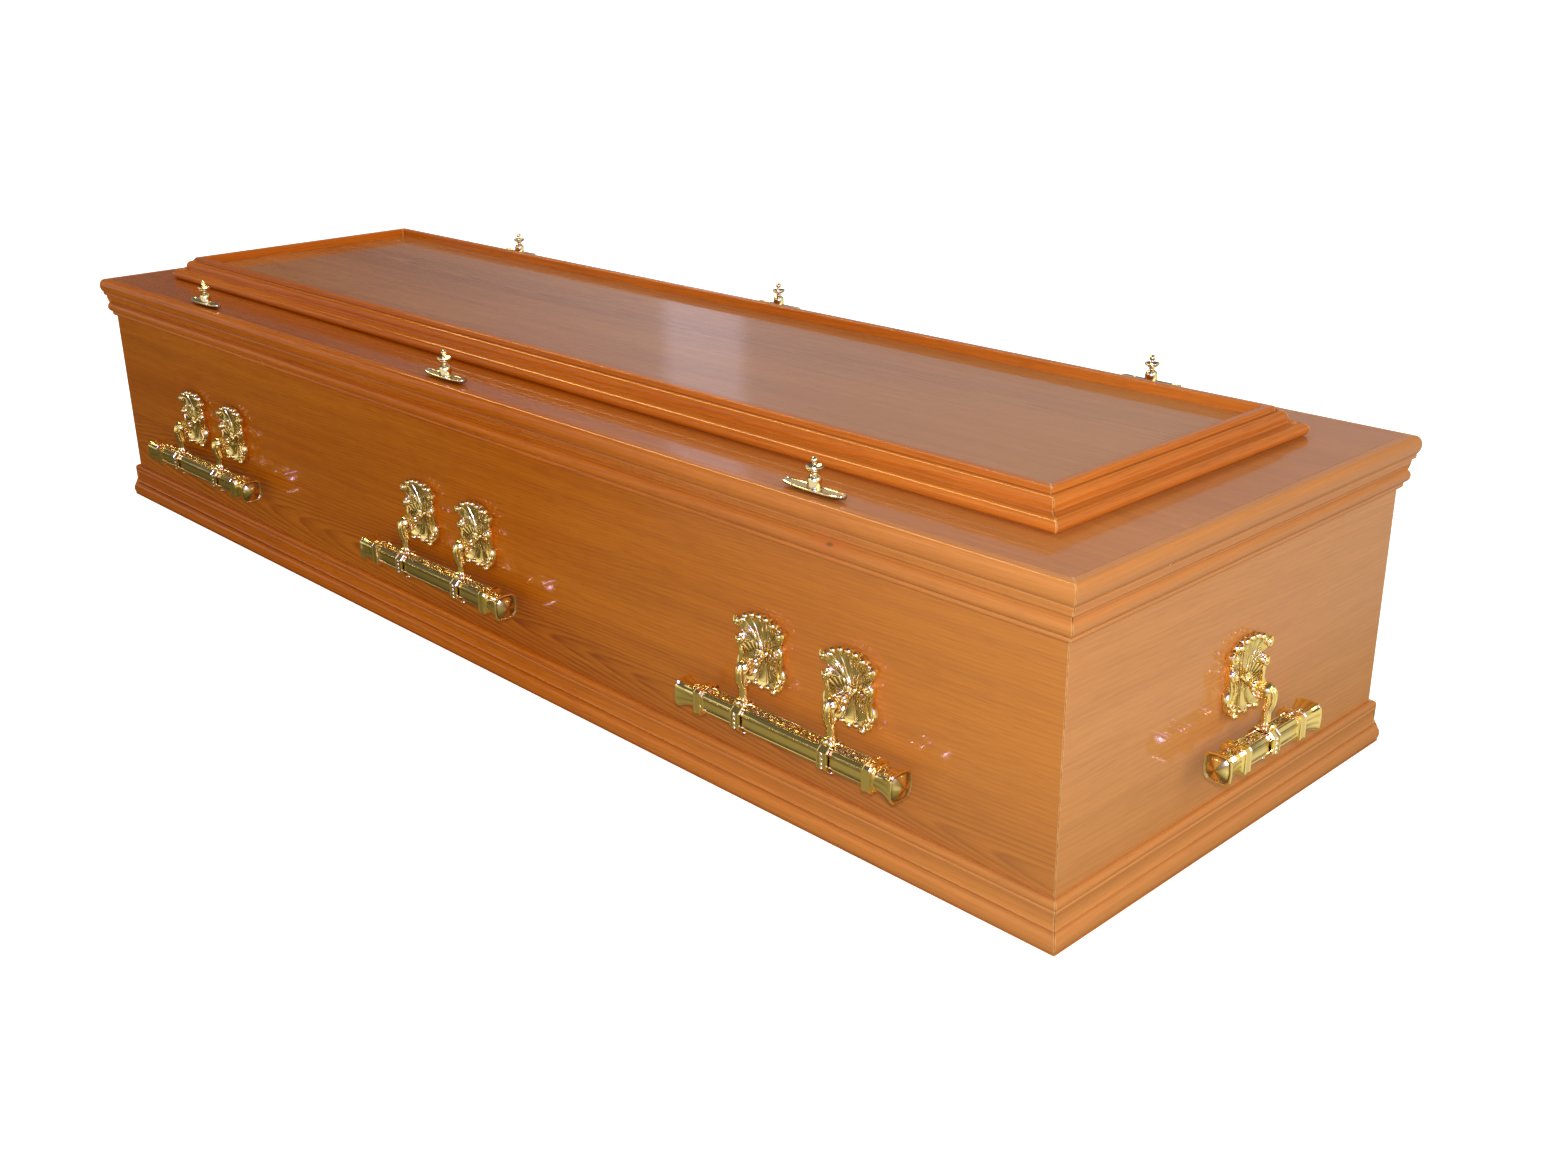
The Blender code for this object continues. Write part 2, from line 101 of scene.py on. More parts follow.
def part_from_grid(grid, around=True, caps=True, crevice=None, uv=None, arris=None, mitre=None):
    """A part with a quad for each square of the grid.

    Corner k of a square is row i + (0, 0, 1, 1) and column j + (0, 1, 1, 0). With around, the last column
    joins the first. With caps, each end row closes on its mean point.
    """
    rows, columns = grid.shape[:2]
    index = np.arange(rows * columns).reshape(rows, columns)
    if around:
        index = np.concatenate([index, index[:, :1]], axis=1)
    quads = np.stack([index[:-1, :-1], index[:-1, 1:], index[1:, 1:], index[1:, :-1]], -1).reshape(-1, 4)
    points = grid.reshape(-1, 3)
    count = len(points)
    triangles = np.zeros((0, 3), int)
    if caps:
        first, last = index[0], index[-1]
        middles = np.stack([grid[0].mean(0), grid[-1].mean(0)])
        points = np.concatenate([points, middles])
        start = np.stack([np.full(len(first) - 1, count), first[1:], first[:-1]], -1)
        end = np.stack([np.full(len(last) - 1, count + 1), last[:-1], last[1:]], -1)
        triangles = np.concatenate([start, end])
    part = {"points": points, "quads": quads, "triangles": triangles}
    # One attribute marks where painted shade darkens hollows; the others mark sharp edges, mitres and the UV map.
    for label, values, width in (("crevice", crevice, 1), ("arris", arris, 1), ("mitre", mitre, 1), ("uv", uv, 2)):
        full = np.zeros((len(points), width))
        if values is not None:
            shape = (rows, columns, 2) if label == "uv" else (rows, columns)
            full[:count] = np.broadcast_to(values, shape).reshape(count, width)
            if caps:
                full[count] = full[0]
                full[count + 1] = full[count - 1]
        part[label] = full
    return part


def enclosed(part):
    """Volume inside a closed part: the sum over its triangles of a . (b x c) / 6."""
    quads, points = part["quads"], part["points"]
    corners = np.concatenate([quads[:, [0, 1, 2]], quads[:, [0, 2, 3]], part["triangles"]])
    first, second, third = (points[corners[:, k]] for k in range(3))
    return float(np.einsum("ij,ij->i", first, np.cross(second, third)).sum() / 6)


def joined(parts):
    """Several closed parts in one, each with its faces turned outwards."""
    whole = {key: [] for key in ("points", "quads", "triangles", "crevice", "arris", "mitre", "uv")}
    count = 0
    for part in parts:
        turn = -1 if enclosed(part) < 0 else 1
        whole["quads"].append(part["quads"][:, ::turn] + count)
        whole["triangles"].append(part["triangles"][:, ::turn] + count)
        for key in ("points", "crevice", "arris", "mitre", "uv"):
            whole[key].append(part[key])
        count += len(part["points"])
    return {key: np.concatenate(values) for key, values in whole.items()}


def moved(part, turn=0.0, shift=(0.0, 0.0, 0.0)):
    """The same part turned about the vertical, then shifted."""
    cosine, sine = math.cos(turn), math.sin(turn)
    rotation = np.array([[cosine, sine, 0.0], [-sine, cosine, 0.0], [0.0, 0.0, 1.0]])
    return {**part, "points": part["points"] @ rotation + np.array(shift)}


def place_object(name, data):
    """A new object in the scene."""
    thing = bpy.data.objects.new(name, data)
    bpy.context.scene.collection.objects.link(thing)
    return thing


TRIANGLES = []


def make_piece(name, part, material, replaced, sharp_degrees=38.0):
    """Put a part in the scene as a piece that rides on the coffin and stands for its CAD node."""
    quads, triangles = part["quads"], part["triangles"]
    mesh = bpy.data.meshes.new(name)
    mesh.vertices.add(len(part["points"]))
    mesh.vertices.foreach_set("co", part["points"].ravel())
    corners = np.concatenate([quads.ravel(), triangles.ravel()])
    sizes = np.concatenate([np.full(len(quads), 4), np.full(len(triangles), 3)])
    mesh.loops.add(len(corners))
    mesh.loops.foreach_set("vertex_index", corners)
    mesh.polygons.add(len(sizes))
    mesh.polygons.foreach_set("loop_start", np.concatenate([[0], np.cumsum(sizes)[:-1]]))
    mesh.update(calc_edges=True)
    mesh.uv_layers.new(name="along").uv.foreach_set("vector", part["uv"][corners].ravel())
    for key in ("crevice", "arris", "mitre"):
        mesh.attributes.new(key, "FLOAT", "POINT").data.foreach_set("value", part[key].ravel())
    mesh.validate()
    mesh.shade_smooth()
    mesh.set_sharp_from_angle(angle=math.radians(sharp_degrees))
    mesh.materials.append(material)
    piece = place_object(name, mesh)
    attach(piece, "root")
    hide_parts(*replaced)
    TRIANGLES.append(2 * len(quads) + len(triangles))


# %% [markdown]
# Materials are node trees. Wiring nodes by hand takes many lines, so small helpers add a node with its options
# and inputs, do a sum, mix two colours and read what a piece says about itself.


# %% Helpers for node trees
def fill(tree, node, inputs):
    """Give a node's inputs, by name or number, fixed values or other nodes' outputs."""
    for key, value in inputs.items():
        if isinstance(value, bpy.types.NodeSocket):
            tree.links.new(value, node.inputs[key])
        else:
            node.inputs[key].default_value = value


def add(tree, kind, inputs=None, **options):
    """Add a node, set its options and fill its inputs."""
    node = tree.nodes.new(kind)
    for option, value in options.items():
        setattr(node, option, value)
    fill(tree, node, inputs or {})
    return node


def calc(tree, operation, *values, clamp=False):
    """One step of arithmetic."""
    return add(tree, "ShaderNodeMath", dict(enumerate(values)), operation=operation, use_clamp=clamp).outputs[0]


def product(tree, first, *others):
    """All the values multiplied."""
    for value in others:
        first = calc(tree, "MULTIPLY", first, value)
    return first


def ramp(tree, value, low, high, start=0.0, end=1.0):
    """start below low, end above high, and a straight line between."""
    inputs = {0: value, 1: low, 2: high, 3: start, 4: end}
    return add(tree, "ShaderNodeMapRange", inputs, clamp=True).outputs[0]


def mix(tree, share, first, second, mode="MIX"):
    """The first colour, with a share of the second over it."""
    inputs = {0: share, 6: first, 7: second}
    return add(tree, "ShaderNodeMix", inputs, data_type="RGBA", blend_type=mode, clamp_factor=True).outputs[2]


def noise(tree, place, stretch, detail=2.0, roughness=0.5):
    """Fractal noise from 0 to 1 over coordinates multiplied by stretch, one number or one for each axis."""
    scaled = vector(tree, "MULTIPLY", place, stretch if isinstance(stretch, tuple) else (stretch,) * 3)
    inputs = {"Vector": scaled, "Scale": 1.0, "Detail": detail, "Roughness": roughness}
    return add(tree, "ShaderNodeTexNoise", inputs).outputs[0]


def vector(tree, operation, *values):
    """One step of arithmetic on vectors. A length or a distance comes out as a number."""
    node = add(tree, "ShaderNodeVectorMath", dict(enumerate(values)), operation=operation)
    return node.outputs["Value" if operation in ("LENGTH", "DISTANCE") else "Vector"]


def parts_of(tree, value):
    """The x, y and z of a vector."""
    return add(tree, "ShaderNodeSeparateXYZ", {0: value}).outputs


def attribute(tree, name):
    """A number that each point of the piece carries, such as how deep in a hollow it lies."""
    return add(tree, "ShaderNodeAttribute", attribute_name=name).outputs["Fac"]


def new_group(name, inputs, outputs):
    """An empty node group with named sockets, its input node and its output node."""
    group = bpy.data.node_groups.new(name, "ShaderNodeTree")
    for label, kind, value in inputs:
        socket = group.interface.new_socket(label, in_out="INPUT", socket_type="NodeSocket" + kind)
        if value is not None:
            socket.default_value = value
    for label, kind in outputs:
        group.interface.new_socket(label, in_out="OUTPUT", socket_type="NodeSocket" + kind)
    return group, add(group, "NodeGroupInput"), add(group, "NodeGroupOutput")


# %% [markdown]
# Oak that is sawn or sliced along the trunk shows its yearly rings as long lines that run together into
# tongues where the cut passes nearest the heart. The trunk is a slightly tapered cone, so the ring at a point
# is found from its distance to the heart less the taper along the board. Fine streaks and short dark pores
# lie over the rings. All this is one group, so that boards and mouldings share it with their own values.


# %% Node group: oak grain
def make_grain_group():
    """Ring = (sqrt(across^2 + depth^2) - taper * along + wander) / spacing; each ring ends in a dark line.

    Across drifts by 7 cm times a slow noise, and a ring wanders by 2.2 mm times a finer one. Each noise is
    stretched along the board: its three numbers say how fine it is along, across and into the wood.
    """
    inputs = [
        ("Vector", "Vector", None),
        ("Heart", "Float", 0.0),
        ("Depth", "Float", 0.02),
        ("Taper", "Float", 0.02),
        ("Spacing", "Float", 0.004),
        ("Contrast", "Float", 0.4),
        ("Light", "Color", (0.6, 0.26, 0.07, 1.0)),
        ("Middle", "Color", (0.5, 0.18, 0.04, 1.0)),
        ("Dark", "Color", (0.25, 0.07, 0.012, 1.0)),
    ]
    outputs = [("Color", "Color"), ("Height", "Float"), ("Roughness", "Float")]
    group, given, result = new_group("oak_grain", inputs, outputs)
    place, depth = given.outputs["Vector"], given.outputs["Depth"]
    along, upward, _ = parts_of(group, place)
    drift = calc(group, "SUBTRACT", noise(group, place, (0.8, 5.0, 5.0), 2.0), 0.5)
    shake = calc(group, "SUBTRACT", noise(group, place, (7.0, 55.0, 55.0), 3.0), 0.5)
    across = calc(group, "MULTIPLY_ADD", drift, 0.07, calc(group, "SUBTRACT", upward, given.outputs["Heart"]))
    squared = product(group, across, across)
    distance = calc(group, "SQRT", calc(group, "MULTIPLY_ADD", depth, depth, squared))
    tapered = calc(group, "SUBTRACT", distance, product(group, along, given.outputs["Taper"]))
    wandering = calc(group, "MULTIPLY_ADD", shake, 0.0022, tapered)
    ring = calc(group, "FRACT", calc(group, "DIVIDE", wandering, given.outputs["Spacing"]))
    line = product(group, calc(group, "POWER", ring, 1.7), ramp(group, ring, 1.0, 0.80, 0.0, 1.0))
    tone = noise(group, place, (0.9, 7.0, 7.0), 3.0)
    streak = noise(group, place, (2.4, 240.0, 240.0), 4.0, 0.62)
    thread = noise(group, place, (9.0, 800.0, 800.0), 2.0, 0.6)
    speck = noise(group, place, (30.0, 1300.0, 1300.0), 1.0)
    broad = noise(group, place, (1.6, 60.0, 60.0), 2.0, 0.55)
    blotch = noise(group, place, (9.0, 45.0, 45.0), 3.0, 0.6)
    near_heart = ramp(group, calc(group, "ABSOLUTE", across), 0.02, 0.07, 3.0, 1.0)
    broken, faded = ramp(group, streak, 0.3, 0.65, 0.45, 1.3), ramp(group, tone, 0.35, 0.62, 0.70, 1.2)
    strength = product(group, line, given.outputs["Contrast"], near_heart, broken, faded)
    base = mix(group, ramp(group, tone, 0.32, 0.68), given.outputs["Light"], given.outputs["Middle"])
    colour = mix(group, strength, base, given.outputs["Dark"])
    # Each layer lays one colour on, from no share where the pattern starts to its full share where it is strong
    layers = (
        (streak, 0.48, 0.72, 0.17, "Dark"), (streak, 0.48, 0.30, 0.28, "Light"), (thread, 0.50, 0.62, 0.34, "Dark"),
        (speck, 0.58, 0.68, 0.45, "Dark"), (broad, 0.46, 0.66, 0.16, "Dark"), (broad, 0.50, 0.34, 0.20, "Light"),
        (blotch, 0.50, 0.68, 0.40, "Middle"), (blotch, 0.60, 0.74, 0.30, "Dark"),
    )
    for pattern, start, strong, share, shade in layers:
        colour = mix(group, ramp(group, pattern, start, strong, 0.0, share), colour, given.outputs[shade])
    pore = ramp(group, speck, 0.58, 0.68)
    height = calc(group, "MULTIPLY_ADD", pore, -0.7, product(group, line, -0.3))
    roughness = ramp(group, streak, 0.3, 0.7, 0.16, 0.30)
    fill(group, result, {"Color": colour, "Height": height, "Roughness": roughness})
    return group


GRAIN = make_grain_group()
print("oak_grain has", len(GRAIN.nodes), "nodes")

# %% [markdown]
# Where two lengths meet in a mitre the stain doesn't take on the cut, and along sharp edges the lacquer is rubbed
# through here and there; the pale line along the edges is also a painted highlight. Both show as a thin pale line. One
# group draws them: it takes a mask of where joints and edges are, breaks the edges up with noise, and lays a cream
# colour there.


# %% Node group: pale joints and rubbed edges
def make_pale_group():
    """Colour = wood, with cream over joints, and over edges, as rubbed wear and painted highlight, where a slow noise
    passes a threshold.
    """
    inputs = [
        ("Color", "Color", (0.5, 0.18, 0.04, 1.0)),
        ("Vector", "Vector", None),
        ("Joint", "Float", 0.0),
        ("Edge", "Float", 0.0),
        ("Cream", "Color", (0.95, 0.56, 0.22, 1.0)),
    ]
    group, given, result = new_group("pale_joints", inputs, [("Color", "Color")])
    place = given.outputs["Vector"]
    patches = ramp(group, noise(group, place, 7.0, 3.0, 0.6), 0.40, 0.62, 0.25, 1.0)
    flecks = ramp(group, noise(group, place, 160.0, 2.0, 0.6), 0.44, 0.58)
    # Rubbed wear and painted highlight along the sharp edges
    edge_wear_and_highlight = product(group, patches, flecks, given.outputs["Edge"])
    joint = product(group, given.outputs["Joint"], ramp(group, flecks, 0.0, 1.0, 0.45, 1.0))
    mask = calc(group, "MAXIMUM", joint, edge_wear_and_highlight)
    colour = mix(group, product(group, mask, 0.6), given.outputs["Color"], given.outputs["Cream"])
    fill(group, result, {"Color": colour})
    return group


PALE = make_pale_group()
print("pale_joints has", len(PALE.nodes), "nodes")

# %% [markdown]
# The lacquer is a clear coat over the stained wood: the wood below is a little rough, the coat is smooth and mirrors
# the gilt castings. In Blender the Principled shader has such a coat of its own. A very slow bump keeps the mirror from
# being too perfect, as a sprayed coat never dries dead flat. A painted sheen makes the colour paler towards the
# right-hand end, nearest the lamp beside the camera.


# %% Lacquered oak
CORNER_LINE = 0.0011
# Colour of the painted pale sheen laid over the wood towards the right-hand end
PAINTED_SHEEN_TINT = (0.60, 0.33, 0.12, 1.0)


def shader_of(name):
    """A new material, its node tree, its Principled shader, and the place on the piece in metres."""
    material = bpy.data.materials.new(name)
    material.use_nodes = True
    tree = material.node_tree
    return material, tree, tree.nodes["Principled BSDF"], add(tree, "ShaderNodeTexCoord").outputs["Object"]


def lacquer(tree, shader, colour, grain, place, coat=0.55, paler=0.34):
    """Connect a wood's colour, pores and roughness, and lay a clear coat over them.

    The last argument is the share of painted pale sheen that the right-hand end gets.
    """
    # Painted sheen: the colour grows paler towards the right-hand end, nearest the lamp beside the camera
    painted_sheen = ramp(tree, parts_of(tree, place)[0], 0.15, 1.0, 0.0, paler)
    bump = add(tree, "ShaderNodeBump", {"Height": grain["Height"], "Strength": 0.12, "Distance": 0.0006})
    ripple = add(tree, "ShaderNodeBump", {"Height": noise(tree, place, 26.0), "Strength": 0.10, "Distance": 0.0012})
    fill(tree, shader, {
        "Base Color": mix(tree, painted_sheen, colour, PAINTED_SHEEN_TINT), "Roughness": grain["Roughness"],
        "Normal": bump.outputs[0], "Specular IOR Level": 0.04,
        "Coat Normal": ripple.outputs[0], "Coat Weight": coat, "Coat Roughness": 0.06,
    })


def board_material(name, axes, offset, light, middle, dark, **figure):
    """Lacquered veneer on a board: axes says which of x, y and z run along, across and into the board."""
    material, tree, shader, place = shader_of(name)
    x_y_z = parts_of(tree, place)
    turned = add(tree, "ShaderNodeCombineXYZ", {k: x_y_z[axis] for k, axis in enumerate(axes)}).outputs[0]
    inputs = {"Vector": vector(tree, "ADD", turned, offset), "Light": light, "Middle": middle, "Dark": dark, **figure}
    grain = add(tree, "ShaderNodeGroup", inputs, node_tree=GRAIN).outputs
    near_end = calc(tree, "GREATER_THAN", calc(tree, "ABSOLUTE", x_y_z[0]), HALF_LENGTH - CORNER_LINE)
    near_side = calc(tree, "GREATER_THAN", calc(tree, "ABSOLUTE", x_y_z[1]), HALF_WIDTH - CORNER_LINE)
    inputs = {"Color": grain["Color"], "Vector": place, "Joint": product(tree, near_end, near_side)}
    pale = add(tree, "ShaderNodeGroup", inputs, node_tree=PALE)
    lacquer(tree, shader, pale.outputs["Color"], grain, place)
    return material


SIDE_VENEER = board_material(
    "oak_side", (0, 2, 1), (3.1, 0.0, 0.0),
    (0.58, 0.170, 0.008, 1.0), (0.47, 0.116, 0.003, 1.0), (0.27, 0.048, 0.001, 1.0),
    Heart=0.085, Depth=0.022, Taper=0.055, Spacing=0.0043, Contrast=0.42,
)
END_VENEER = board_material(
    "oak_end", (1, 2, 0), (7.3, 0.0, 0.0),
    (0.63, 0.230, 0.052, 1.0), (0.54, 0.180, 0.030, 1.0), (0.32, 0.088, 0.010, 1.0),
    Heart=0.72, Depth=0.02, Taper=0.05, Spacing=0.0060, Contrast=0.34,
)
LID_VENEER = board_material(
    "oak_lid", (0, 1, 2), (1.7, 0.0, 0.0),
    (0.50, 0.130, 0.008, 1.0), (0.40, 0.084, 0.003, 1.0), (0.22, 0.036, 0.001, 1.0),
    Heart=0.55, Depth=0.02, Taper=0.02, Spacing=0.0075, Contrast=0.22,
)
PANEL_VENEER = board_material(
    "oak_panel_top", (0, 1, 2), (5.9, 0.0, 0.0),
    (0.49, 0.180, 0.046, 1.0), (0.41, 0.135, 0.029, 1.0), (0.24, 0.065, 0.012, 1.0),
    Heart=0.06, Depth=0.014, Taper=0.030, Spacing=0.0055, Contrast=0.40,
)
BOARDS = {
    "side_panel_front": SIDE_VENEER, "side_panel_back": SIDE_VENEER, "bottom_board": SIDE_VENEER,
    "end_panel_left": END_VENEER, "end_panel_right": END_VENEER,
    "lid_board": LID_VENEER, "raised_panel": PANEL_VENEER,
}
for node_name, veneer in BOARDS.items():
    frame["nodes"][node_name].material_slots[0].material = veneer
print("veneered boards:", ", ".join(sorted(BOARDS)))

# %% [markdown]
# Mouldings are run from solid wood, so their grain follows their length round every corner of the coffin. An Object
# coordinate can't turn the corner, so each length carries a UV map whose first value is the distance along it and whose
# second is the distance round its section, both in metres. Three attributes say where the mitres, the sharp edges and
# the hollow corners are; the hollow corners are darkened with painted shade. One dark knot sits in the front rim, with
# a halo of darker wood round it. The raised frame takes less of the painted pale sheen than the mouldings below it.

# %% Lacquered oak mouldings
KNOT, KNOT_RADIUS = (0.689, -0.3085, 0.3325), 0.0036


def moulding_material():
    """Grain on the piece's own UV map, painted shade in the hollows, then the knot, then pale mitres and edges of
    rubbed wear and painted highlight.
    """
    material, tree, shader, place = shader_of("oak_moulding_lacquered")
    inputs = {
        "Vector": add(tree, "ShaderNodeUVMap", uv_map="along").outputs[0],
        "Heart": -0.30, "Depth": 0.02, "Taper": 0.03, "Spacing": 0.0062, "Contrast": 0.36,
        "Light": (0.64, 0.172, 0.008, 1.0), "Middle": (0.52, 0.116, 0.003, 1.0), "Dark": (0.26, 0.044, 0.001, 1.0),
    }
    grain = add(tree, "ShaderNodeGroup", inputs, node_tree=GRAIN).outputs
    # Painted shade: the hollow corners of the section are darkened towards dark brown
    hollow = product(tree, attribute(tree, "crevice"), 0.55)
    colour = mix(tree, hollow, grain["Color"], (0.20, 0.040, 0.002, 1.0))
    away = vector(tree, "LENGTH", vector(tree, "MULTIPLY", vector(tree, "SUBTRACT", place, KNOT), (0.55, 1.0, 1.0)))
    halo = ramp(tree, away, KNOT_RADIUS, 5.5 * KNOT_RADIUS, 0.85, 0.0)
    heart = ramp(tree, away, 0.45 * KNOT_RADIUS, KNOT_RADIUS, 0.9, 0.0)
    colour = mix(tree, halo, colour, (0.50, 0.085, 0.003, 1.0))
    colour = mix(tree, heart, colour, (0.04, 0.006, 0.001, 1.0))
    joint, edge = attribute(tree, "mitre"), attribute(tree, "arris")
    inputs = {"Color": colour, "Vector": place, "Joint": joint, "Edge": edge}
    pale = add(tree, "ShaderNodeGroup", inputs, node_tree=PALE)
    # Painted pale sheen: the raised frame above the lid top takes less of it than the mouldings below
    paler = ramp(tree, parts_of(tree, place)[2], LID_TOP, LID_TOP + 0.001, 0.46, 0.14)
    lacquer(tree, shader, pale.outputs["Color"], grain, place, 0.35, paler)
    return material


MOULDING = moulding_material()
print("moulding material has", len(MOULDING.node_tree.nodes), "nodes")

# %% [markdown]
# A moulding is a section, drawn once, and carried along a straight length that is cut at 45 degrees at both ends. The
# section is drawn with arcs and short straight steps, as a cutter would be ground: rounds, hollows, and the small
# square fillets between them. Extra points beside each sharp edge keep its pale line of rubbed wear and painted
# highlight narrow.


# %% Sections and mitred lengths
BESIDE_EDGE = 0.0006
SHARP_BEND = math.radians(28)
FROM_CUT = np.array([0.0, 0.0007, 0.0016, 0.006])


def arc(out, up, reach, rise, start, end, steps=12):
    """Points on an ellipse round (out, up), from one angle in degrees to another."""
    angle = np.radians(np.linspace(start, end, steps))
    return points_at(out + reach * np.cos(angle), up + rise * np.sin(angle))


def refined(section):
    """The section with points just beside each corner, sharp corners marked: convex 1, hollow -1."""
    loop = np.concatenate([section, section[:1]])
    step = np.diff(loop, axis=0)
    length = np.hypot(*step.T)
    keep = length > 1e-7
    loop, step, length = np.concatenate([loop[:-1][keep], loop[-1:]]), step[keep], length[keep]
    direction = np.arctan2(step[:, 1], step[:, 0])
    bend = (direction - np.roll(direction, 1) + math.pi) % (2 * math.pi) - math.pi
    area = 0.5 * np.sum(loop[:-1, 0] * loop[1:, 1] - loop[1:, 0] * loop[:-1, 1])
    turn = np.sign(area) * bend
    sharp = np.where(turn > SHARP_BEND, 1.0, np.where(turn < -SHARP_BEND, -1.0, 0.0))
    distance = np.concatenate([[0.0], np.cumsum(length)])
    long_enough = length > 3 * BESIDE_EDGE
    extra = np.concatenate([distance[:-1][long_enough] + BESIDE_EDGE, distance[1:][long_enough] - BESIDE_EDGE])
    spaced = np.unique(np.round(np.concatenate([distance[:-1], extra]), 7))
    points = points_at(*(np.interp(spaced, distance, loop[:, k]) for k in (0, 1)))
    place = np.searchsorted(spaced, np.round(distance[:-1], 7))
    marked = np.zeros(len(spaced))
    marked[np.minimum(place, len(spaced) - 1)] = sharp
    return points, spaced, marked


def mitred_length(section, half_length, half_width, side):
    """One side of a rectangle: x = t * (half + out), so that the ends are cut at 45 degrees.

    A few rows stand close to the cut, which keeps the pale line of the mitre narrow. The UV map starts at
    another place on the grain for each side and each moulding, so no two lengths look alike.
    """
    turns = SIDES.index(side)
    half, across = (half_length, half_width) if turns % 2 == 0 else (half_width, half_length)
    points, around, marked = refined(section)
    reach = half + points[:, 0] - GAP / math.sqrt(2)
    left = -reach + FROM_CUT[:, None]
    middle = np.linspace(-1, 1, 9)[:, None] * (half - 0.06) + 0 * reach
    along = np.concatenate([left, middle, -left[::-1]])
    grid = points_at(along, -across - points[:, 0], points[:, 1])
    mitre = np.zeros(along.shape)
    mitre[[0, 1, -1, -2]] = 1.0
    uv = points_at(along + 2.7 * turns + 11.0 * section[0, 1], around)
    # The section's hollow corners carry painted shade
    part = part_from_grid(grid, uv=uv, arris=np.maximum(marked, 0), crevice=np.maximum(-marked, 0), mitre=mitre)
    return moved(joined([part]), turns * math.pi / 2)


def run_round(prefix, section, half_length, half_width):
    """Four mitred lengths that share one section, each in the place of its CAD node."""
    for side in SIDES:
        name = f"{prefix}_{side}"
        part = mitred_length(section, half_length, half_width, side)
        make_piece(f"{name}_moulded", part, MOULDING, [name], 24.0)


# %% [markdown]
# From the floor up the plinth has a full round, a narrow groove, a broad band that is slightly hollow, and a
# small round on top. The rim under the lid has a little bead, a nose, a hollow and a square fillet.

# %% Plinth and rim
PLINTH = np.concatenate([
    [[GAP, 0.0], [0.0112, 0.0]],
    arc(0.0052, 0.0092, 0.0070, 0.0112, -55, 80, 16),
    [[0.0050, 0.0206], [0.0044, 0.0212], [0.0054, 0.0222]],
    arc(0.0145, 0.0330, 0.0095, 0.0150, 222, 150, 10),
    [[0.0062, 0.0412]],
    arc(0.0024, 0.0468, 0.0042, 0.0052, -48, 90, 12),
    [[GAP, 0.0520]],
])
run_round("plinth", PLINTH, HALF_LENGTH, HALF_WIDTH)
RIM = np.concatenate([
    [[GAP, RIM_FOOT]],
    arc(0.0024, RIM_FOOT + 0.0030, 0.0022, 0.0030, -90, 40, 8),
    [[0.0036, RIM_FOOT + 0.0056]],
    arc(0.0030, RIM_FOOT + 0.0140, 0.0066, 0.0082, -68, 66, 14),
    [[0.0048, RIM_FOOT + 0.0222]],
    arc(0.0108, RIM_FOOT + 0.0232, 0.0058, 0.0056, 180, 112, 9),
    [[0.0088, RIM_FOOT + 0.0292], [0.0090, RIM_TOP], [GAP, RIM_TOP]],
])
run_round("rim", RIM, HALF_LENGTH, HALF_WIDTH)
print("plinth and rim:", len(PLINTH), "and", len(RIM), "points in their sections")

# %% [markdown]
# The lid's edge is a broad nose over a narrow fillet. The raised frame climbs in three steps: a big round
# foot, a ledge, a second round, a groove, and a flat-topped bead that runs along the ridge.

# %% Lid edge and raised frame
LID_EDGE = np.concatenate([
    [[0.0008, LID_EDGE_FOOT], [0.0118, LID_EDGE_FOOT], [0.0122, LID_EDGE_FOOT + 0.0026]],
    arc(0.0084, LID_EDGE_FOOT + 0.0143, 0.0069, 0.0114, -62, 90, 22),
    [[0.0008, LID_TOP]],
])
run_round("lid_edge", LID_EDGE, HALF_LENGTH, HALF_WIDTH)
FRAME = np.concatenate([
    [[-0.0390, FRAME_FOOT], [-0.0040, FRAME_FOOT]],
    arc(-0.0072, FRAME_FOOT + 0.0066, 0.0072, 0.0072, -62, 96, 20),
    [[-0.0112, FRAME_FOOT + 0.0136], [-0.0168, FRAME_FOOT + 0.0142], [-0.0176, FRAME_FOOT + 0.0158]],
    arc(-0.0238, FRAME_FOOT + 0.0196, 0.0064, 0.0086, -14, 96, 14),
    [[-0.0266, FRAME_FOOT + 0.0272], [-0.0280, FRAME_FOOT + 0.0276], [-0.0284, FRAME_FOOT + 0.0300]],
    arc(-0.0306, FRAME_TOP - 0.0022, 0.0022, 0.0022, 0, 90, 6),
    arc(-0.0368, FRAME_TOP - 0.0022, 0.0022, 0.0022, 90, 180, 6),
])
run_round("raised_frame", FRAME, HALF_LENGTH - FRAME_OUTER, HALF_WIDTH - FRAME_OUTER)
print("lid edge and frame:", len(LID_EDGE), "and", len(FRAME), "points;", sum(TRIANGLES), "triangles so far")

# %% [markdown]
# The fittings are thin castings with a bright gilt plating. A polished metal has almost no colour of its own but what
# it mirrors, so the gold shows pale where it faces the light and deep orange where it faces the wood. The plating is
# rougher in the hollows, where polish and dust collect, and it is darkened there with painted shade: each piece carries
# an attribute that says how deep in a hollow each point lies.


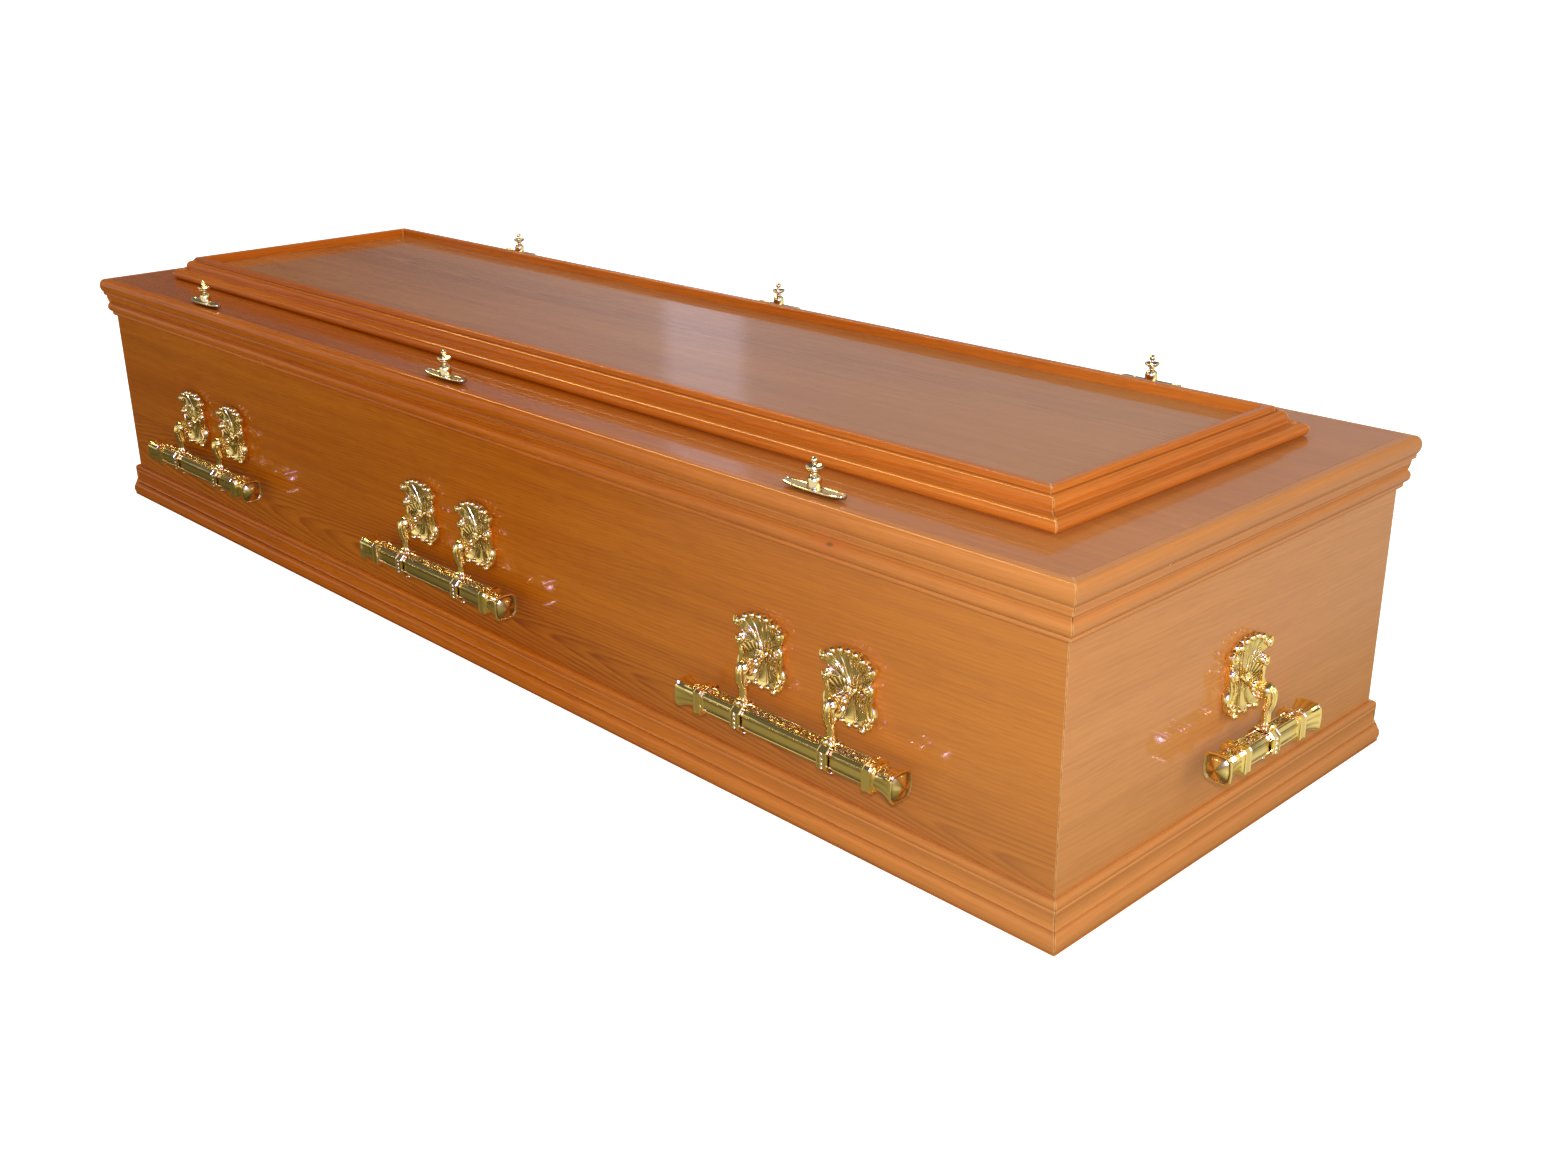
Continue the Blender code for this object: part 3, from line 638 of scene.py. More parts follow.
# %% Gilt plating
def make_tarnish_and_shade_group():
    """Painted shade = hollow * slow noise, and roughness grows with it; height = slow noise + a little grit."""
    inputs = [("Vector", "Vector", None), ("Hollow", "Float", 0.0), ("Gold", "Color", (0.9, 0.7, 0.3, 1.0))]
    outputs = [("Color", "Color"), ("Roughness", "Float"), ("Height", "Float")]
    group, given, result = new_group("gilt_tarnish", inputs, outputs)
    place = given.outputs["Vector"]
    cloud = noise(group, place, 70.0, 3.0)
    grit = noise(group, place, 900.0)
    deep = calc(group, "MULTIPLY", given.outputs["Hollow"], ramp(group, cloud, 0.2, 0.7, 0.6, 1.1), clamp=True)
    colour = mix(group, ramp(group, cloud, 0.35, 0.65, 0.0, 0.25), given.outputs["Gold"], (0.93, 0.70, 0.20, 1.0))
    # Painted shade: the hollows are darkened towards a dark olive
    colour = mix(group, product(group, deep, 0.80), colour, (0.12, 0.08, 0.015, 1.0))
    rough = calc(group, "MULTIPLY_ADD", deep, 0.22, ramp(group, cloud, 0.3, 0.7, 0.08, 0.14))
    height = calc(group, "MULTIPLY_ADD", grit, 0.3, cloud)
    fill(group, result, {"Color": colour, "Roughness": rough, "Height": height})
    return group


TARNISH_AND_SHADE = make_tarnish_and_shade_group()
print("gilt_tarnish has", len(TARNISH_AND_SHADE.nodes), "nodes")

# %% [markdown]
# The face of each shell is engraved: rings round two centres on each side and fine rays between them. Lines so fine are
# left to the material, as a bump and a little painted shade in the cuts. The ribs and lips are real form.

# %% Node group: engraving on the shells, and the gilt materials
ENGRAVED_WAVE, ENGRAVED_RAYS, RAYS_FOOT = 0.0026, 44.0, 0.030
ENGRAVED_CENTRES = (((0.024, 0.014, 0.0), 0.0105), ((0.019, -0.014, 0.0), 0.0090))


def make_engraving_group():
    """Height = waves round two centres a side, and rays from the foot of the shell between them.

    The vector holds the place across and up from the shell's middle. Only its size across counts, so both
    halves are alike. Where the vector is nought, as on the bars, nothing is engraved.
    """
    group, given, result = new_group("shell_engraving", [("Vector", "Vector", None)], [("Height", "Float")])
    sideways, up, _ = parts_of(group, given.outputs["Vector"])
    across = calc(group, "ABSOLUTE", sideways)
    mirrored = add(group, "ShaderNodeCombineXYZ", {0: across, 1: up}).outputs[0]
    rings, inside = 0.0, 0.0
    for centre, reach in ENGRAVED_CENTRES:
        away = vector(group, "DISTANCE", mirrored, centre)
        within = ramp(group, away, reach, reach - 0.0006)
        wave = calc(group, "SINE", product(group, away, 2 * math.pi / ENGRAVED_WAVE))
        rings = calc(group, "ADD", rings, product(group, wave, within))
        inside = calc(group, "MAXIMUM", inside, within)
    angle = calc(group, "ARCTAN2", across, calc(group, "ADD", up, RAYS_FOOT))
    rays = calc(group, "SINE", product(group, angle, ENGRAVED_RAYS))
    rays = product(group, rays, calc(group, "SUBTRACT", 1.0, inside), ramp(group, up, -0.022, -0.012))
    size = vector(group, "LENGTH", mirrored)
    both = calc(group, "ADD", rings, rays)
    height = product(group, both, ramp(group, size, 0.004, 0.006), ramp(group, size, 0.034, 0.028))
    fill(group, result, {"Height": height})
    return group


ENGRAVING = make_engraving_group()


def gilt_material(name, gold):
    """Polished plating in the given gold, engraved where the piece's own UV map says so."""
    material, tree, shader, place = shader_of(name)
    on_shell = add(tree, "ShaderNodeUVMap", uv_map="along").outputs[0]
    engraving = add(tree, "ShaderNodeGroup", {0: on_shell}, node_tree=ENGRAVING).outputs[0]
    # Painted shade: the engraved cuts and the hollows darken the plating
    groove = ramp(tree, engraving, -0.2, -0.9, 0.0, 0.6)
    hollow = calc(tree, "MAXIMUM", attribute(tree, "crevice"), groove)
    inputs = {"Vector": place, "Hollow": hollow, "Gold": gold}
    tarnish_and_shade = add(tree, "ShaderNodeGroup", inputs, node_tree=TARNISH_AND_SHADE).outputs
    cut = add(tree, "ShaderNodeBump", {"Height": engraving, "Strength": 0.8, "Distance": 0.0005})
    inputs = {"Height": tarnish_and_shade["Height"], "Strength": 0.10, "Distance": 0.0004, "Normal": cut.outputs[0]}
    bump = add(tree, "ShaderNodeBump", inputs)
    fill(tree, shader, {
        "Base Color": tarnish_and_shade["Color"], "Roughness": tarnish_and_shade["Roughness"], "Normal": bump.outputs[0], "Metallic": 1.0,
    })
    return material


GILT = gilt_material("gilt_handle", (0.96, 0.76, 0.27, 1.0))
# The thumbscrews get a paler, less yellow gold: painted highlight for their brighter reflections
GILT_SCREW_PAINTED_PALE = gilt_material("gilt_screw", (0.88, 0.78, 0.44, 1.0))
print("shell_engraving has", len(ENGRAVING.nodes), "nodes")

# %% [markdown]
# Four small form makers serve all the castings. A turned form carries a section round an axis, a tube carries
# a round section along a flat curve, a knob is a ball whose radius swells in leaves, and a volute is a scroll.


# %% Turned forms, tubes and leafy knobs
def turned_form(section, sides, centre=(0.0, 0.0, 0.0)):
    """Rings of points (r cos a, r sin a, height), for the radius r and height of each row of the section."""
    section = np.asarray(section, float)
    angle = np.linspace(0, 2 * math.pi, sides, endpoint=False)
    radius, height = section[:, :1], section[:, 1:2]
    return part_from_grid(points_at(radius * np.cos(angle), radius * np.sin(angle), height) + np.array(centre))


def tube(path, radius, flat_axis, sides=14, leaves=0, depth=0.0, squash=1.0):
    """Rings round a flat curve: centre + r (cos a * side + squash sin a * axis), side = tangent x axis."""
    path = np.asarray(path, float)
    tangent = np.gradient(path, axis=0)
    tangent /= np.linalg.norm(tangent, axis=1)[:, None]
    axis = np.asarray(flat_axis, float)
    side = np.cross(tangent, axis)
    angle = np.linspace(0, 2 * math.pi, sides, endpoint=False)
    leaf = np.abs(np.cos(leaves * angle / 2))
    depth = np.broadcast_to(depth, len(path))[:, None]
    reach = np.asarray(radius, float)[:, None] * (1 - depth + depth * leaf)
    grid = path[:, None] + (reach * np.cos(angle))[..., None] * side[:, None]
    grid = grid + (squash * reach * np.sin(angle))[..., None] * axis
    # Painted shade between the leaves
    return part_from_grid(grid, crevice=depth * 2.2 * (1 - leaf) ** 3)


def knob(centre, radius, leaves=0, depth=0.0, sides=22, squash=(1.0, 1.0, 1.0)):
    """A ball by latitude and longitude. Its radius shrinks by depth between the leaves, most at the middle."""
    latitude = np.radians(np.linspace(-89, 89, 15))[:, None]
    angle = np.linspace(0, 2 * math.pi, sides, endpoint=False)
    leaf = np.abs(np.cos(leaves * angle / 2))
    reach = radius * (1 - depth * (1 - leaf) * np.cos(latitude))
    out = reach * np.cos(latitude)
    grid = points_at(out * np.cos(angle), reach * np.sin(latitude), out * np.sin(angle))
    # Painted shade between the leaves, most at the middle
    return part_from_grid(grid * np.array(squash) + np.array(centre), crevice=(1 - leaf) ** 3 * np.cos(latitude))


def volute(across, up, off, radius, start, turns, wire, hand=1):
    """A scroll that winds in: r = radius * (1 - 0.72 share), its wire thins, and an eye sits in the middle."""
    share = np.linspace(0, 1, 28)
    angle = np.radians(start) + hand * share * turns * 2 * math.pi
    r = radius * (1 - 0.72 * share)
    path = points_at(across + r * np.sin(angle), -off - 0.0016 * share, up + r * np.cos(angle))
    thick = wire * (0.55 + 0.45 * np.sin(np.clip(share * 4, 0, 1) * math.pi / 2)) * (1 - 0.35 * share)
    eye = knob((across, -off - 0.0014, up), 1.25 * wire, sides=14)
    return [tube(path, thick, (0.0, -1.0, 0.0), sides=10), eye]


# %% [markdown]
# Each thumbscrew has a boat-shaped washer whose deck has a bright raised rim, a bell-shaped body, a thin neck,
# a flared cup and a ball on a stem. It is turned work, apart from the washer, which is a grid of sections
# that shrink towards its two blunt tips.

# %% Thumbscrews
SCREW_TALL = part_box("thumbscrew_front_1")[1].z - LID_TOP
WASHER_HALF, BALL = 0.042, 0.0037


def washer_form():
    """Deck, raised rim, upright side and keel as a closed section, narrowed along the length t from -1 to 1.

    Half width = 8.4 mm * (1 - 0.34 |t|^3) * sqrt(1 - |t|^24), so the tips stay blunt.
    """
    t = np.sin(np.linspace(-1, 1, 45) * math.pi / 2)[:, None]
    section_out = np.array([0.0, 0.60, 0.70, 0.76, 0.88, 0.97, 1.0, 0.97, 0.90, 0.70, 0.40, 0.0])
    section_up = np.array([0.0, 0.0, 0.08, 0.36, 0.44, 0.22, -0.2, -0.8, -1.3, -1.9, -2.3, -2.4])
    out = np.concatenate([section_out, -section_out[-2:0:-1]])
    up = np.concatenate([section_up, section_up[-2:0:-1]])
    width = 0.0084 * (1 - 0.34 * np.abs(t) ** 3) * np.sqrt(np.clip(1 - np.abs(t) ** 24, 0.06, 1))
    deck = 0.0050 + 0.0014 * np.abs(t) ** 3
    thick = 0.0019 * (1 - 0.20 * t**2)
    grid = points_at(WASHER_HALF * t, width * out, np.maximum(deck + thick * up, 0.0004))
    # Painted shade: a darker deck, a dark line inside the rim, and the underside and keel in deep shade
    dark = (np.abs(out) < 0.72) * 0.35 + (np.abs(np.abs(out) - 0.70) < 0.02) * 0.5 + (up < -0.5) * 0.9
    return part_from_grid(grid, crevice=dark)


def screw_form():
    """The turned body: radius and height of each ring, from the washer up to the ball."""
    bell = mm((7.4, 3.6), (8.4, 4.8), (8.2, 5.8), (7.6, 6.4), (7.8, 7.2), (7.7, 10.5), (7.5, 14.0), (7.0, 16.2),
              (5.8, 18.0), (4.0, 19.2), (3.0, 19.9))
    neck = mm((2.6, 20.6), (3.4, 21.1), (3.5, 21.8), (2.5, 22.4))
    cup = mm((3.2, 22.8), (5.5, 23.8), (7.6, 25.2), (8.8, 26.6), (9.2, 27.5), (9.0, 28.2), (8.4, 27.9), (6.6, 26.6),
             (4.2, 25.7), (2.6, 25.4))
    stem = mm((2.0, 26.2), (1.9, 28.8), (2.7, 29.6), (2.0, 30.3))
    ball = arc(0.0, SCREW_TALL - BALL, BALL, BALL, -60, 88, 14)
    return turned_form(np.concatenate([bell, neck, cup, stem, ball]), 36)


THUMBSCREW = joined([washer_form(), screw_form()])
for side in ("front", "back"):
    for number in (1, 2, 3):
        node_name = f"thumbscrew_{side}_{number}"
        low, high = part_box(node_name)
        spot = ((low.x + high.x) / 2, (low.y + high.y) / 2, LID_TOP)
        make_piece(f"{node_name}_turned", moved(THUMBSCREW, 0.0, spot), GILT_SCREW_PAINTED_PALE, [node_name])
print("thumbscrew:", TRIANGLES[-1], "triangles each")

# %% [markdown]
# The bar is a faceted tube. Each broad facet is ground slightly hollow, so it mirrors a pale and a dark stripe,
# and is edged by a thin quirk. Near each end a square cuff holds the tip, which flares like a trumpet with
# leaf-shaped ribs and closes with a low petalled dome.

# %% Bars with cuffs and tips
TIP_LENGTH = 0.033
CUFF_END = 0.045
CUFF_HALF = 0.01475
FLARE_HALF, FLARE_ROWS = 0.01625, 15


def eight_sided(half, cut, quirk=0.0, hollow=0.0, roundness=0.0, ribs=0.0):
    """Outline (side, up) of a square of the given half size with its corners cut.

    Each of the eight facets has points at fixed shares t of its length, so every outline has the same count.
    Points sink by quirk beside the facet's ends and by hollow * sin(pi t) between them. Roundness blends the
    outline into a circle, and ribs swells it at twelve angles: 1 + ribs * (|cos 6a| - 0.75).
    """
    flat = half * (1 - cut)
    corners = np.array([(flat, -half), (half, -flat), (half, flat), (flat, half),
                        (-flat, half), (-half, flat), (-half, -flat), (-flat, -half)])
    share = np.array([0.0, 0.05, 0.10, 0.17, 0.30, 0.43, 0.57, 0.70, 0.83, 0.90, 0.95])
    sink = np.array([0.0, 0.0, 1.0, 0.6, 0.0, 0.0, 0.0, 0.0, 0.6, 1.0, 0.0]) * quirk
    along = np.roll(corners, -1, axis=0) - corners
    length = np.linalg.norm(along, axis=1)[:, None]
    normal = np.stack([along[:, 1], -along[:, 0]], 1) / length
    deep = sink + hollow * np.sin(share * math.pi) * (length / half) ** 2
    points = corners[:, None] + share[:, None] * along[:, None] - deep[..., None] * normal[:, None]
    points = points.reshape(-1, 2)
    angle = np.arctan2(points[:, 1], points[:, 0])
    circle = half * points_at(np.cos(angle), np.sin(angle))
    swell = 1 + ribs * (np.abs(np.cos(6 * angle)) - 0.75)
    return ((1 - roundness) * points + roundness * circle) * swell[:, None]


def bar_form(half_length):
    """The outline carried along X: each station gives the distance from the tip and the outline's values.

    The painted shade follows the facets: both ends of each facet on the bar, the ribs of the flare, the dome's petals
    and the ring behind them.
    """
    dome = [(0.0, 0.0016, 0.9), (0.0006, 0.0044, 0.8), (0.0016, 0.0074, 0.7), (0.0030, 0.0102, 0.6),
            (0.0044, 0.0122, 0.5), (0.0054, 0.0130, 0.45), (0.0048, 0.0140, 0.42), (0.0044, 0.0150, 0.40),
            (0.0048, 0.0159, 0.36), (0.0058, FLARE_HALF, 0.32), (0.0070, 0.0160, 0.30)]
    stations = [(inward, dict(half=half, cut=0.24, roundness=bend, ribs=0.02)) for inward, half, bend in dome]
    for share in np.linspace(0, 1, FLARE_ROWS):
        half = 0.0154 - 0.0040 * math.sin(share * math.pi / 2) ** 0.8
        values = dict(half=half, cut=0.24 + 0.1 * share, roundness=0.35 + 0.25 * share, ribs=0.05 * (1 - share) ** 0.7)
        stations.append((0.0080 + 0.0222 * share, values))
    collar = ((0.0003, 0.0142), (0.0012, CUFF_HALF), (0.0026, CUFF_HALF), (0.0031, 0.0141))
    plain = [(0.0308, 0.0122, 0.30, 0.30), (0.0318, 0.0130, 0.24, 0.20), (0.0326, 0.0126, 0.22, 0.10)]
    plain += [(TIP_LENGTH, 0.0128, 0.20, 0.0)] + [(TIP_LENGTH + inset, half, 0.18, 0.0) for inset, half in collar]
    plain += [(CUFF_END - inset, half, 0.18, 0.0) for inset, half in reversed(collar)]
    plain += [(CUFF_END, 0.0128, 0.30, 0.0), (CUFF_END + 0.0012, 0.0127, 0.38, 0.0)]
    stations += [(inward, dict(half=half, cut=cut, roundness=bend)) for inward, half, cut, bend in plain]
    stations.append((CUFF_END + 0.0014, dict(half=BAR_HALF, cut=0.42)))
    stations.append((CUFF_END + 0.0024, dict(half=BAR_HALF, cut=0.42, quirk=0.0006, hollow=0.0010)))
    right = np.stack([points_at(half_length - inward, *eight_sided(**values).T) for inward, values in stations])
    left = right[::-1] * np.array([-1.0, 1.0, 1.0])
    # Painted shade in the quirks, between the ribs of the flare and round the dome's petals
    dark = np.zeros(right.shape[:2])
    dark[-1] = np.tile([0, 0.1, 1.0, 0.9, 0.05, 0, 0, 0.05, 0.9, 1.0, 0.1], 8)
    angle = np.arctan2(right[..., 2], right[..., 1])
    flare = slice(len(dome), len(dome) + FLARE_ROWS)
    dark[flare] = 0.8 * (1 - np.abs(np.cos(6 * angle[flare]))) ** 3
    dark[:5] = np.clip(1.5 * (1 - np.abs(np.cos(2 * angle[:5]))), 0, 0.95)
    dark[5:7] = 0.9
    return part_from_grid(np.concatenate([right, left]), crevice=np.concatenate([dark, dark[::-1]]))


# %% [markdown]
# A running vine covers the bar's upper facet, and a small palmette sits on each tip and cuff. This relief is
# real form: a height function is pressed into a thin plate whose rim is sunk into the metal below it.


# %% Relief on the bars
VINE_STEP = 0.0011


def vine_height(x, y, period=0.028, half=0.0062):
    """Raised vine: a wave, with a five-petalled flower in every bend and a leaf beside it, from 0 to 1."""
    phase = 2 * math.pi * x / period
    stem = np.exp(-(((y - 0.45 * half * np.sin(phase)) / 0.0006) ** 2))
    local = (x + period / 4) % (period / 2) - period / 4
    turn = np.where(((x + period / 4) // (period / 2)) % 2 == 0, 1.0, -1.0)
    away, angle = np.hypot(local, y + turn * 0.0013), np.arctan2(y + turn * 0.0013, local)
    flower = np.clip(1 - (away / (0.0034 * (0.72 + 0.28 * np.cos(5 * angle)))) ** 4, 0, 1)
    flower = flower * (0.55 + 0.45 * np.clip(np.abs(away - 0.0010) / 0.0008, 0, 1))
    leaf_x = np.abs(local) - period / 8
    leaf = np.clip(1 - (leaf_x / 0.0032) ** 2 - ((y - turn * 0.0028 + 0.3 * leaf_x) / 0.0012) ** 2, 0, 1) ** 0.5
    return np.clip(np.maximum(np.maximum(0.8 * stem, flower), 0.9 * leaf), 0, 1)


def raised_patch(x_half, y_half, rows, columns, height, relief, base):
    """A plate with the height function pressed into its top, its rim and underside sunk into the metal below, and
    painted shade in its low parts.
    """
    x, y = np.linspace(-x_half, x_half, rows)[:, None], np.linspace(-y_half, y_half, columns)[None]
    level = height(x, y)
    fade = np.minimum(1, (1 - np.abs(np.linspace(-1, 1, rows))[:, None]) * 14)
    fade = fade * np.minimum(1, (1 - np.abs(np.linspace(-1, 1, columns))[None]) * 6)
    top = points_at(x, y, base + (relief * level + 0.00006) * fade - 0.0001 * (fade <= 0))
    under = points_at(x, y[:, ::-1], base - 0.0012)[:, [0, -1]]
    grid = np.concatenate([top, under], axis=1)
    # Painted shade in the low parts of the relief
    dark = np.concatenate([(1 - level) ** 2 * 0.85 * fade, np.zeros((rows, 2))], axis=1)
    return part_from_grid(grid, crevice=dark)


def palmette(x, y):
    """Five petals that spread from a root, with a round boss on the root."""
    away, angle = np.hypot(x + 0.0052, y), np.arctan2(y, x + 0.0052)
    petals = np.clip(1 - (away / (0.0125 * np.abs(np.cos(2.5 * angle)) ** 0.6 * np.cos(angle / 1.6) + 1e-4)) ** 3, 0, 1)
    boss = np.clip(1 - (away / 0.0030) ** 2, 0, 1) ** 0.5
    return np.maximum(np.where(np.abs(angle) < 1.6, petals, 0.0) * 0.8, boss)


def whole_bar(half_length):
    """The bar with its engraved upper facet between the cuffs, and a palmette on each tip and cuff."""
    parts = [bar_form(half_length)]
    engraved = half_length - CUFF_END - 0.003
    rows = int(engraved * 2 / VINE_STEP)
    parts.append(raised_patch(engraved, 0.0062, rows, 19, vine_height, 0.0013, BAR_HALF - 0.0008))
    for way in (-1, 1):
        for inward, base, relief in ((0.0240, 0.0112, 0.0026), (0.0395, CUFF_HALF - 0.0010, 0.0022)):
            leafy = raised_patch(0.0078, 0.0080, 27, 21, palmette, relief, base)
            spot = (way * (half_length - inward), 0.0, 0.0)
            parts.append(moved(leafy, 0.0 if way > 0 else math.pi, spot))
    return joined(parts)


for bar_name in sorted(name for name in frame["nodes"] if name.startswith("handle_bar_")):
    low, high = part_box(bar_name)
    middle = tuple((low + high) / 2)
    half_length = max(high.x - low.x, high.y - low.y) / 2
    bar = moved(whole_bar(half_length), FACING[bar_name.split("_")[2]], middle)
    make_piece(f"{bar_name}_engraved", bar, GILT, [bar_name], 30.0)
print("end bar", TRIANGLES[-1], "triangles, side bar", TRIANGLES[-3])

# %% [markdown]
# The bracket is the showpiece: a scallop shell with ribs that fan out to curled lips, scrolls on its shoulders
# and feet, and an arm with leafy knobs that bends down to a band round the bar. The shell is worked out in
# polar form. The angle picks the rib, and the share of the reach says how far out the point lies, so one
# formula gives the outline, the dish, the ribs and the lips. Its UV map holds the place on the shell, across
# and up from its middle in metres, and the material engraves it there.

# %% Bracket: scallop shell
# The crest of each rib by its angle in degrees, its reach and its rise off the wall, and the valleys between
SHELL_UP = 0.066
LOBES = np.array([-141.0, -77.0, -49.5, -31.5, -15.5, 0.0, 15.5, 31.5, 49.5, 77.0, 141.0, 180.0])
LOBE_REACH = mm(46.0, 34.5, 47.0, 45.0, 44.0, 43.0, 44.0, 45.0, 47.0, 34.5, 46.0, 44.0)
LOBE_RISE = mm(10.0, 10.5, 10.5, 9.4, 9.0, 8.8, 9.0, 9.4, 10.5, 10.5, 10.0, 7.5)
EDGES = np.array([-166.0, -107.0, -62.0, -40.5, -23.5, -7.75, 7.75, 23.5, 40.5, 62.0, 107.0, 166.0, 194.0])
EDGE_REACH = mm(39.5, 30.0, 32.0, 39.0, 39.0, 38.5, 38.5, 39.0, 39.0, 32.0, 30.0, 39.5, 39.5)
FLAT_RISE = 0.0042
# Place across and up from the shell's middle, rise off the wall and size, and the angle where a scroll starts
SCROLLS = ((0.0318, 0.0272, 0.0100, 0.0060, 40), (0.0292, 0.0066, 0.0100, 0.0056, 60),
           (0.0280, -0.0300, 0.0098, 0.0064, 120))
LIPS = mm((10.4, 39.2, 8.6, 4.2), (20.6, 35.4, 9.0, 4.3), (19.4, -40.8, 7.6, 4.4), (9.6, -38.8, 6.6, 3.4))


def shell_form():
    """Outline = edge + (lobe - edge) * sqrt(1 - f^2), where f runs from -1 to 1 across each rib.

    Height = dish + rib + lip: the dish climbs with the share of the reach to the power 2.4, a rib is a round
    that grows with the share, and the lip is a bell curve near the edge, which then curls back to the wall.
    """
    degrees = np.linspace(-166, 194, 240, endpoint=False)
    rib = np.clip(np.searchsorted(EDGES, degrees, side="right") - 1, 0, len(LOBES) - 1)
    low, high, peak = EDGES[rib], EDGES[rib + 1], LOBES[rib]
    across = np.where(degrees < peak, (degrees - peak) / (peak - low), (degrees - peak) / (high - peak))
    round_rib = np.sqrt(np.clip(1 - across**2, 0, 1))
    edge = np.interp(degrees, EDGES, EDGE_REACH)
    reach = edge + (LOBE_REACH[rib] - edge) * round_rib
    rise = LOBE_RISE[rib] * (0.72 + 0.28 * round_rib)
    share = np.concatenate([np.linspace(0.03, 0.88, 22), [0.91, 0.935, 0.955, 0.975, 0.99, 1.0]])[:, None]
    dish = FLAT_RISE + (rise - FLAT_RISE) * share**2.4 - 0.0012 * np.sin(share * math.pi)
    ribs = 0.0024 * share**0.8 * (round_rib - 0.6)
    lip = 0.0014 * np.exp(-(((share - 0.90) / 0.06) ** 2)) * round_rib
    drop = 0.0050 * np.clip((share - 0.93) / 0.07, 0, 1) ** 2
    off = np.maximum(dish + ribs + lip - drop, 0.0014)
    radius = share * reach
    angle = np.radians(degrees)
    front = points_at(radius * np.sin(angle), -off, SHELL_UP + radius * np.cos(angle))
    wall = points_at(0.93 * reach * np.sin(angle), -GAP, SHELL_UP + 0.93 * reach * np.cos(angle))
    grid = np.concatenate([front, wall[None]])
    # Painted shade in the valleys between the ribs, most towards the middle
    dark = np.clip(1.40 - round_rib * 1.3, 0, 1) * np.clip(share * 2.2, 0.3, 1) * (1 - 0.75 * share**3)
    uv = points_at(grid[..., 0], grid[..., 2] - SHELL_UP)
    return part_from_grid(grid, crevice=np.concatenate([dark, 0 * dark[:1]]), uv=uv)


def side_scrolls():
    """Round lips on the rim, scrolls on shoulders, waist and feet, and two stalks down each side, mirrored."""
    parts = []
    share = np.linspace(0, 1, 24)
    for way in (-1, 1):
        for across, up, off, size, start in SCROLLS:
            parts += volute(way * across, SHELL_UP + up, off, size, way * start, 1.15, 0.0023, way)
            parts.append(knob((way * across, -off + 0.0040, SHELL_UP + up), 0.95 * size, sides=26))
        for across, up, off, size in LIPS:
            parts.append(knob((way * across, -off, SHELL_UP + up), size, leaves=2, depth=0.12, sides=26))
        for inset, thick, off in ((0.0, 0.0015, 0.0080), (0.0043, 0.0012, 0.0096)):
            across = 0.0338 - inset - 0.0034 * np.sin(share * math.pi)
            up = SHELL_UP + 0.0040 - 0.0300 * share
            path = points_at(way * across, -off, up)
            parts.append(tube(path, thick + 0.0003 * np.sin(share * math.pi), (0.0, -1.0, 0.0), sides=10))
    parts.append(knob((0.0, -0.0084, SHELL_UP + 0.0402), 0.0042, leaves=2, depth=0.12, sides=26))
    parts.append(knob((0.0, -0.0066, SHELL_UP - 0.0412), 0.0036, leaves=5, depth=0.15, sides=30))
    return parts


# %% [markdown]
# The arm leaves the shell below its middle, swells into a leafy knob, turns down round a ball, and runs into a
# collar over the band. Its radius is a sum of bell curves at the places of the knobs. A curled leaf hangs
# under it. The band is the bar's own outline, a little larger, with a bead on both edges, and a drop below.


# %% Bracket: arm, band and drop
def smooth_path(points, count):
    """An even curve along the corners, rounded by four rounds of corner cutting, and the length at each point."""
    points = np.asarray(points, float)
    for _ in range(4):
        first = 0.75 * points[:-1] + 0.25 * points[1:]
        second = 0.25 * points[:-1] + 0.75 * points[1:]
        inner = np.stack([first, second], 1).reshape(-1, points.shape[1])
        points = np.concatenate([points[:1], inner, points[-1:]])
    length = np.concatenate([[0.0], np.cumsum(np.linalg.norm(np.diff(points, axis=0), axis=1))])
    even = np.linspace(0, length[-1], count)
    return points_at(*(np.interp(even, length, column) for column in points.T)), even


def arm_form():
    """Radius = 4.8 mm + a bell curve at root, elbow, collar and band; leafy balls sit on the arm and the elbow."""
    corners = [(0.0, -0.0038, 0.0640), (0.0, -0.0090, 0.0575), (0.0, -0.0180, 0.0565), (0.0, -0.0280, 0.0575),
               (0.0, -BAR_OUT - 0.0026, 0.0560), (0.0, -BAR_OUT - 0.0036, 0.0430), (0.0, -BAR_OUT + 0.0006, 0.0330),
               (0.0, -BAR_OUT, 0.0240), (0.0, -BAR_OUT, BAR_HALF + 0.0012)]
    path, length = smooth_path(corners, 72)
    total = length[-1]
    bells = ((0.0, 0.0030, 0.0040), (0.44 * total, 0.0020, 0.0160),
             (total - 0.0055, 0.0014, 0.0022), (total, 0.0022, 0.0020))
    radius = np.full(len(path), 0.0048)
    depth = np.full(len(path), 0.08)
    for centre, swell, width in bells:
        bell = np.exp(-(((length - centre) / width) ** 2))
        radius = radius + swell * bell
        depth = depth + 0.12 * bell
    parts = [tube(path, radius, (1.0, 0.0, 0.0), sides=32, leaves=8, depth=depth)]
    parts.append(knob((0.0, -0.0170, 0.0560), 0.0080, leaves=7, depth=0.14, sides=42, squash=(1.0, 0.66, 1.0)))
    parts.append(knob((0.0, -0.0308, 0.0556), 0.0088, leaves=7, depth=0.06, sides=42))
    return parts


